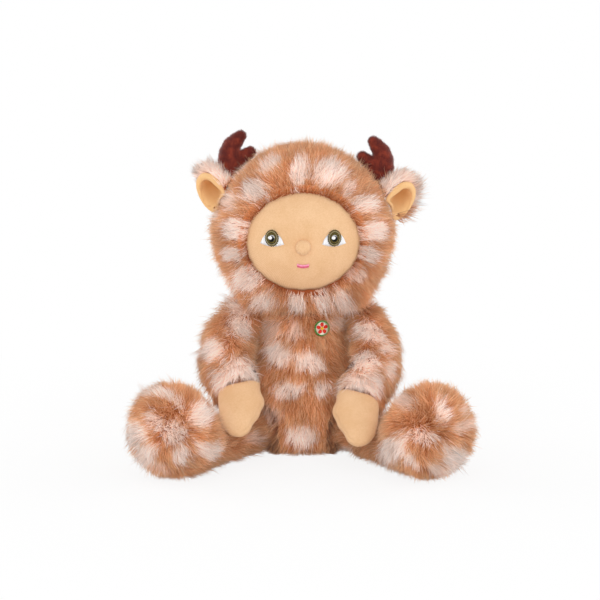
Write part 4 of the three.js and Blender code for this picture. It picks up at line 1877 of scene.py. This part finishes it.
@dataclass
class Rim:
    """The edge of a flat, roundish node: its middle, its axes and how far it reaches each way.

    `plane` has its two long axes as columns, `thin` points out of its front, and `height` is how
    far the front lies along it. `far` holds the reach at each of the angles `steps`.
    """

    middle: np.ndarray
    plane: np.ndarray
    thin: np.ndarray
    height: float
    steps: np.ndarray
    far: np.ndarray

    @classmethod
    def of(cls, node: str, samples: int = 6000, count: int = 48, window: float = 0.12) -> "Rim":
        """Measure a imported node.

        Args:
            node: The node.
            samples: How many points of its skin are looked at.
            count: At how many angles it is measured.
            window: How far to each side of an angle points count, in radians.

        Returns:
            Its rim.
        """
        points, _ = Skin.of(node).scatter(samples, np.random.default_rng(55))
        middle = points.mean(axis=0)
        long, wide, thin = np.linalg.svd(points - middle, full_matrices=False)[2]
        thin = thin if thin[1] < 0 else -thin
        plane = np.column_stack([long, wide])
        flat = (points - middle) @ plane
        turns = np.arctan2(flat[:, 1], flat[:, 0])
        reach = np.linalg.norm(flat, axis=1)
        steps = np.arange(count) / count * FULL_TURN - math.pi
        apart = [np.abs((turns - t + math.pi) % FULL_TURN - math.pi) for t in steps]
        far = np.array([np.percentile(reach[away < window], 97) for away in apart])
        height = float(np.percentile((points - middle) @ thin, 90))
        return cls(middle, plane, thin, height, steps, far)

    def edge(self, flat: np.ndarray) -> np.ndarray:
        """How far the rim reaches in the directions of places in its plane."""
        return np.interp(np.arctan2(flat[:, 1], flat[:, 0]), self.steps, self.far, period=FULL_TURN)

    def lip(self, thickness: float, segments: int = 12, around: int = 64) -> bmesh.types.BMesh:
        """Roll a lip along the rim, thicker at the top.

        Args:
            thickness: The roll's radius at the top.
            segments: How many sides the roll has.
            around: How many steps it takes round the rim.

        Returns:
            The roll.
        """
        away = 10.0
        lip = bmesh.new()
        ring = bmesh.ops.create_circle(
            lip, segments=segments, radius=1,
            matrix=Matrix.Translation((away, 0, 0)) @ Matrix.Rotation(math.pi / 2, 4, "X"),
        )["verts"]
        bmesh.ops.spin(
            lip, geom=ring + list({e for v in ring for e in v.link_edges}), cent=(0, 0, 0),
            axis=(0, 0, 1), angle=FULL_TURN, steps=around, use_merge=True,
        )
        for vert in lip.verts:
            turn = math.atan2(vert.co.y, vert.co.x)
            way = self.plane @ heading(turn)
            outer = np.interp(turn, self.steps, self.far, period=FULL_TURN)
            thick = thickness * (0.62 + 0.38 * way[2])
            spread = outer - thick + (math.hypot(vert.co.x, vert.co.y) - away) * thick
            raised = self.height - 0.2 * thick + vert.co.z * thick
            vert.co = Vector(self.middle + way * spread + self.thin * raised)
        bmesh.ops.recalc_face_normals(lip, faces=lip.faces)
        return lip


@dataclass
class Ear:
    """An ear: fur behind, and a cupped lining with a rolled lip in front.

    `fringe` is what the pile gains at the top and at the outer edge. `drop` moves the lining out
    and down and `grow` widens it.
    """

    side: Side
    spots: tuple[Spot, ...]
    fringe: tuple[float, float]
    drop: tuple[float, float]
    grow: float
    lip: float = 2.6 * MM

    def comb(self, points: np.ndarray, normals: np.ndarray) -> np.ndarray:
        """Brush the pile from the hood to the ear's tip, and backwards.

        Args:
            points: Places on the skin.
            normals: The normals there.

        Returns:
            Unit vectors along the skin.
        """
        way = points - centre_of("hood")
        way[:, 1] += 30 * MM
        return along_skin(unit(way), normals)

    def shorten(self, points: np.ndarray, normals: np.ndarray) -> np.ndarray:
        """The pile is long on the ear's upper and outer edge.

        Args:
            points: Places on the skin.
            normals: Not used.

        Returns:
            Shares of the pile's length.
        """
        middle = centre_of(f"{self.side.word}_ear")
        up = (points[:, 2] - middle[2]) / (16 * MM)
        out = self.side.value * (points[:, 0] - middle[0]) / (12 * MM)
        top, edge = self.fringe
        return 1 + top * smoothstep(0, 0.9, up) + edge * smoothstep(0, 0.9, out - up)

    def build(self) -> None:
        """Make the fur and the lining."""
        name = f"{self.side.word}_ear"
        lining = f"{name}_lining"
        depth, droop = 2.2 * MM, 0.05
        coat = Coat(
            name, "head", self.comb, seed=51 + self.side.value,
            piles=(
                Pile(length=6.5 * MM, depth=depth, density=2.6 / MM**2, droop=droop),
                replace(GUARD, length=8.5 * MM, depth=depth, density=0.7 / MM**2, droop=droop),
            ),
            pattern=Print(self.spots, spacing=60 * MM, seed=52),
            clear_of=(lining, f"{self.side.word}_antler"),
            refuse=near(0.5 * MM, "hood", lining),
            shorten=self.shorten,
        )
        coat.back(1.2 * MM)
        coat.dress()
        self.build_lining(lining)

    def build_lining(self, node: str) -> None:
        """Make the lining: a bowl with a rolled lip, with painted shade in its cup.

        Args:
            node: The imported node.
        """
        rim = Rim.of(node)
        roll = to_mesh(rim.lip(self.lip), "roll")
        model = merged(node)
        model.from_mesh(roll)
        bpy.data.meshes.remove(roll)
        mesh = stuffed(f"{node}_cloth", model, voxel=0.55 * MM, inset=0.0)
        places = places_of(mesh.vertices) - rim.middle
        depth = rim.height - places @ rim.thin
        share = np.linalg.norm(places @ rim.plane, axis=1) / rim.edge(places @ rim.plane)
        # How much painted shade the cup has: most deep in it and away from its edge, and more
        # towards its top.
        high = np.clip(0.75 + 0.5 * places[:, 2] / (14 * MM), 0.35, 1.0)
        deep = smoothstep(0.4 * MM, 3.0 * MM, depth) * smoothstep(0.95, 0.6, share) * high
        mark_vertices(mesh, "deep", deep)
        move = np.array([self.side.value * self.drop[0], 0, -self.drop[1]])
        place_vertices(mesh, rim.middle + places * self.grow + move)
        piece = make_piece(mesh.name, mesh, LINING, "head", [node])


@dataclass
class Antler:
    """A stuffed velour antler with a short nap."""

    side: Side

    def comb(self, points: np.ndarray, normals: np.ndarray) -> np.ndarray:
        """Brush the nap upwards."""
        return along_skin(np.tile([[0.0, 0.0, 1.0]], (len(points), 1)), normals, 1e-6)

    def build(self) -> None:
        """Make the antler and its nap."""
        name = f"{self.side.word}_antler"
        mesh = stuffed(f"{name}_velour", merged(name), voxel=0.9 * MM, inset=-0.7 * MM, rounds=3)
        piece = make_piece(mesh.name, mesh, ANTLER, "head", [name])
        Coat(
            name, "head", self.comb, slot="antler_velour", seed=61 + self.side.value,
            piles=(Pile(
                length=1.5 * MM, radius=0.12 * MM, depth=-0.4 * MM, density=3.4 / MM**2, lean=0.45,
                droop=0.0, stray=0.3, clump=0.3, clump_size=8, finish=NAP, suffix="nap",
            ),),
        ).dress()


@dataclass
class Arm:
    """A fur sleeve and its cotton mitt.

    `flatten` and `lift` change how the pile stands on the outer side and on the shoulder, and
    `longer` how long it is there.
    """

    side: Side
    spots: tuple[Spot, ...]
    flatten: float
    lift: float
    longer: float
    seam_height: float = 4 * MM
    seam_width: float = 0.55 * MM
    seam_depth: float = 0.5 * MM

    def comb(self, points: np.ndarray, normals: np.ndarray) -> np.ndarray:
        """Brush the pile down towards the cuff, and a little outwards.

        Args:
            points: Places on the skin.
            normals: The normals there.

        Returns:
            Unit vectors along the skin.
        """
        out = self.side.value * 0.25 + 0.3 * ripple(points, 22 * MM, 75)
        way = np.column_stack([out, np.full(len(points), 0.1), np.full(len(points), -1.0)])
        return along_skin(way, normals)

    def sink(self, points: np.ndarray, normals: np.ndarray) -> np.ndarray:
        """How deep the roots lie, against the pile's own depth.

        Args:
            points: Places on the skin.
            normals: The normals there.

        Returns:
            Shares of the pile's depth.
        """
        outer = smoothstep(0.0, 0.7, normals[:, 0] * self.side.value)
        outer = outer * smoothstep(44 * MM, 62 * MM, points[:, 2])
        shoulder = smoothstep(92 * MM, 108 * MM, points[:, 2])
        return 1 + self.flatten * outer - self.lift * shoulder * (1 - 0.8 * outer)

    def shorten(self, points: np.ndarray, normals: np.ndarray) -> np.ndarray:
        """The pile has another length over the shoulder."""
        return 1 + self.longer * smoothstep(88 * MM, 104 * MM, points[:, 2])

    def build(self) -> None:
        """Make the sleeve and the hand."""
        name = f"{self.side.word}_arm"
        hand = f"{self.side.word}_hand"
        coat = Coat(
            name, name, self.comb, seed=71 + self.side.value,
            piles=(Pile(lean=0.6, density=1.95 / MM**2), replace(GUARD, lean=0.56)),
            pattern=Print(self.spots, seed=72 + self.side.value),
            clear_of=("chest_badge",),
            refuse=near(0.3 * MM, hand, "torso"),
            sink=self.sink, shorten=self.shorten,
        )
        coat.back()
        coat.dress()
        self.build_mitt(hand, name)

    def build_mitt(self, node: str, body: str) -> None:
        """Make the hand: rounded, and fuller towards its tip.

        Args:
            node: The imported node.
            body: The body that it rides on.
        """
        name = f"{node}_mitt"
        mesh = stuffed(name, merged(node), voxel=1.1 * MM, inset=-1.0 * MM, rounds=6)
        places = places_of(mesh.vertices)
        middle = places.mean(axis=0)
        long, wide, _ = np.linalg.svd(places - middle, full_matrices=False)[2]
        long = long if long[2] < 0 else -long
        along, across = (places - middle) @ long, (places - middle) @ wide
        share = np.abs(across) / np.abs(across).max()
        inner = across * np.sign(wide[0]) * -self.side.value > 0
        belly = inner * np.exp(-(((along - 0.16 * along.max()) / (5 * MM)) ** 2))
        tip = smoothstep(0, along.max(), along)
        cuff = smoothstep(0.2 * along.min(), along.min(), along)
        places += wide * (across * (0.26 * tip + 0.16 * belly - 0.34 * cuff * share))[:, None]
        places += long * (1.2 * MM * tip + 4.5 * MM * cuff * (0.4 + 0.6 * share**2))[:, None]
        place_vertices(mesh, places)
        mesh = applied(mesh, "SUBSURF", levels=1)
        self.press_seam(mesh, middle, np.cross(long, wide))
        mesh.shade_smooth()
        piece = make_piece(name, mesh, COTTON, body, [node])

    def press_seam(self, mesh: bpy.types.Mesh, middle: np.ndarray, ahead: np.ndarray) -> None:
        """Press the seam's groove into the mitt, along its thumb's side.

        Args:
            mesh: The mitt.
            middle: Its middle.
            ahead: The direction out of its flat side.
        """
        places, normals = places_of(mesh.vertices), normals_of(mesh.vertices)
        height = (places - middle) @ ahead * np.sign(ahead @ np.array(PICTURE.back()))
        thumb = smoothstep(0.2, 0.5, -self.side.value * normals[:, 0] - 0.5 * normals[:, 2])
        seam = np.exp(-(((height - self.seam_height) / self.seam_width) ** 2)) * thumb
        place_vertices(mesh, places - normals * (self.seam_depth * seam)[:, None])


@dataclass
class Leg:
    """A fur leg that ends in a big round foot, and its sole.

    `swirl` is where the pile parts on the sole, as a spot is placed.
    """

    side: Side
    spots: tuple[Spot, ...]
    swirl: tuple[float, float]
    parting: np.ndarray = field(init=False)

    def __post_init__(self) -> None:
        """Find the parting on the sole's skin."""
        tree = Skin.of(f"{self.side.word}_sole").tree
        self.parting = np.array(tree.ray_cast(PICTURE.eye(), PICTURE.ray(*self.swirl))[0])

    def comb(self, points: np.ndarray, normals: np.ndarray) -> np.ndarray:
        """Brush the pile away from the parting on the sole, in swirls, and flatter further off.

        Args:
            points: Places on the skin.
            normals: The normals there.

        Returns:
            Vectors along the skin, longer where the pile lies flatter.
        """
        away = along_skin(points - self.parting, normals)
        turn = (0.4 + 0.9 * ripple(points, 30 * MM, 9))[:, None]
        distance = np.linalg.norm(points - self.parting, axis=1)
        flat = 0.15 + 0.95 * smoothstep(4 * MM, 34 * MM, distance)[:, None]
        return flat * (away * np.cos(turn) + np.cross(normals, away) * np.sin(turn))

    def build(self) -> None:
        """Make the leg and the sole."""
        body, sole = f"{self.side.word}_leg", f"{self.side.word}_sole"
        for node, other, seed in ((body, sole, 81), (sole, body, 85)):
            coat = Coat(
                node, body, self.comb, seed=seed + self.side.value,
                pattern=Print(self.spots, seed=seed + 2),
                clear_of=("left_hand", "right_hand"),
                refuse=near(0.4 * MM, other, "torso"),
            )
            coat.dress()
            if node == body:
                coat.back(also=[sole])


# ---- Studio ----


@dataclass
class Studio:
    """A pale floor, soft light and the camera. The lamps' powers are in watts."""

    key: float = 5.0
    fill: float = 2.5
    front: float = 7.5
    sides: float = 9.0
    world: float = 0.6
    floor_radius: float = 12.0
    aim: tuple[float, float, float] = (0.0, 0.0, 120 * MM)  # Where the lamps point.
    sensor: float = 36.0  # The camera's sensor and lens are in millimetres.

    def build(self) -> None:
        """Set up all of the studio."""
        self.build_floor()
        self.build_world()
        self.add_lamp("key", (-0.75, -1.5, 1.5), 1.4, self.key)
        self.add_lamp("fill", (1.2, -1.1, 0.8), 1.4, self.fill)
        self.add_lamp("front", (0.0, -1.6, 0.5), 0.9, self.front)
        self.add_lamp("left_side", (1.25, 0.55, 0.75), 1.2, self.sides)
        self.add_lamp("right_side", (-1.25, 0.55, 0.75), 1.2, self.sides)
        self.build_camera()
        bpy.context.scene.view_settings.view_transform = "Standard"

    def build_floor(self) -> None:
        """Lay the floor."""
        model = bmesh.new()
        bmesh.ops.create_circle(model, cap_ends=True, segments=96, radius=self.floor_radius)
        floor = bpy.data.objects.new("floor", to_mesh(model, "floor"))
        bpy.context.scene.collection.objects.link(floor)
        finish = FloorFinish("studio_floor", 0.9, colour=(0.9, 0.9, 0.9), clear=0.3, lift=0.86)
        floor.data.materials.append(finish.material())

    def build_world(self) -> None:
        """Light from all round, and plain white behind the object."""
        world = bpy.data.worlds.new("studio")
        bpy.context.scene.world = world
        shader = Shader(world)
        ground = shader.tree.nodes["Background"]
        shader.feed(ground.inputs["Color"], (1, 1, 1))
        shader.feed(ground.inputs["Strength"], self.world)
        white = shader.node("ShaderNodeBackground", {}, {"Color": (1, 1, 1), "Strength": 1.0})
        rays = shader.node("ShaderNodeLightPath", {}, {})
        mix = shader.node(
            "ShaderNodeMixShader",
            {},
            {0: rays.outputs["Is Camera Ray"], 1: ground.outputs[0], 2: white.outputs[0]},
        )
        shader.feed(shader.tree.nodes["World Output"].inputs["Surface"], mix.outputs[0])

    def add_lamp(self, name: str, place: tuple[float, float, float], size: float, power: float
                 ) -> None:
        """Hang a soft lamp that shines at the doll.

        Args:
            name: The lamp's name.
            place: Where it hangs.
            size: The side of its square.
            power: Its power in watts.
        """
        lamp = bpy.data.lights.new(name, "AREA")
        lamp.size = size
        lamp.energy = power
        holder = bpy.data.objects.new(name, lamp)
        bpy.context.scene.collection.objects.link(holder)
        holder.location = place
        way = Vector(self.aim) - Vector(place)
        holder.rotation_euler = way.to_track_quat("-Z", "Y").to_euler()

    def build_camera(self) -> None:
        """Place the camera as the picture was taken."""
        camera = bpy.data.cameras.new("camera")
        camera.sensor_width = self.sensor
        camera.lens = self.sensor * PICTURE.distance / (PICTURE.side * PICTURE.pixel)
        holder = bpy.data.objects.new("camera", camera)
        bpy.context.scene.collection.objects.link(holder)
        holder.location = PICTURE.eye()
        holder.rotation_euler = (-PICTURE.back()).to_track_quat("-Z", "Y").to_euler()
        bpy.context.scene.camera = holder


RIGHT_ARM_SPOTS = (
    Spot(238, 301, 16, 15, 0, 0.85), Spot(240, 329, 13, 9, 20), Spot(207, 349, 12, 10),
    Spot(243, 374, 20, 10, -6), Spot(219, 386, 12, 8, 0, 0.9),
)
LEFT_ARM_SPOTS = (
    Spot(369, 331, 17, 8, 6), Spot(391, 348, 8, 5, 10, 0.8), Spot(363, 360, 15, 8, -8),
    Spot(395, 370, 6, 8, 0, 0.8), Spot(367, 388, 28, 9, 6),
)
RIGHT_LEG_SPOTS = (
    Spot(205, 412, 11, 12, 20), Spot(160, 395, 19, 8, 22), Spot(153, 422, 13, 5, 42, 0.9),
    Spot(176, 434, 11, 11), Spot(127, 428, 5, 7, 0, 0.7), Spot(142, 453, 12, 7, 25),
    Spot(182, 457, 7, 8), Spot(214, 452, 10, 8, -20, 0.9), Spot(130, 396, 7, 6, 0, 0.5),
    Spot(258, 438, 9, 6, 10, 0.5),
)
LEFT_LEG_SPOTS = (
    Spot(444, 408, 7, 12, -15), Spot(425, 438, 13, 7, 8), Spot(388, 453, 10, 14, 25),
    Spot(416, 463, 11, 7, 30, 0.9), Spot(461, 461, 7, 11, 20), Spot(464, 428, 7, 6, 0, 0.6),
    Spot(400, 398, 8, 5, -20, 0.6), Spot(348, 453, 9, 8, 0, 0.8), Spot(467, 410, 4, 6, 0, 0.6),
)


def main() -> None:
    """Build every sub-assembly in order."""
    logging.basicConfig(level=logging.INFO, format="%(message)s")
    Torso().build()
    Hood().build()
    Head().build()
    Badge().build()
    # On each ear the second, larger spot is partly the fur's own pale colour and partly painted
    # light, which lifts the fringe that the lamps leave dark.
    Ear(
        Side.LEFT, (Spot(391, 184, 14, 10), Spot(406, 184, 24, 22, 0, 0.85)), fringe=(0.45, 0.9),
        drop=(1.8 * MM, 1.7 * MM), grow=1.1,
    ).build()
    Ear(
        Side.RIGHT, (Spot(216, 178, 9, 10), Spot(203, 174, 20, 14, 0, 0.85)), fringe=(0.35, -0.5),
        drop=(0.4 * MM, 1.6 * MM), grow=1.1,
    ).build()
    for side in Side:
        Antler(side).build()
    Arm(Side.LEFT, LEFT_ARM_SPOTS, flatten=0.2, lift=0.35, longer=0.0).build()
    Arm(Side.RIGHT, RIGHT_ARM_SPOTS, flatten=0.0, lift=0.9, longer=0.35).build()
    Leg(Side.LEFT, LEFT_LEG_SPOTS, swirl=(414, 426)).build()
    Leg(Side.RIGHT, RIGHT_LEG_SPOTS, swirl=(167, 417)).build()
    Studio().build()


if __name__ == "__main__":
    main()
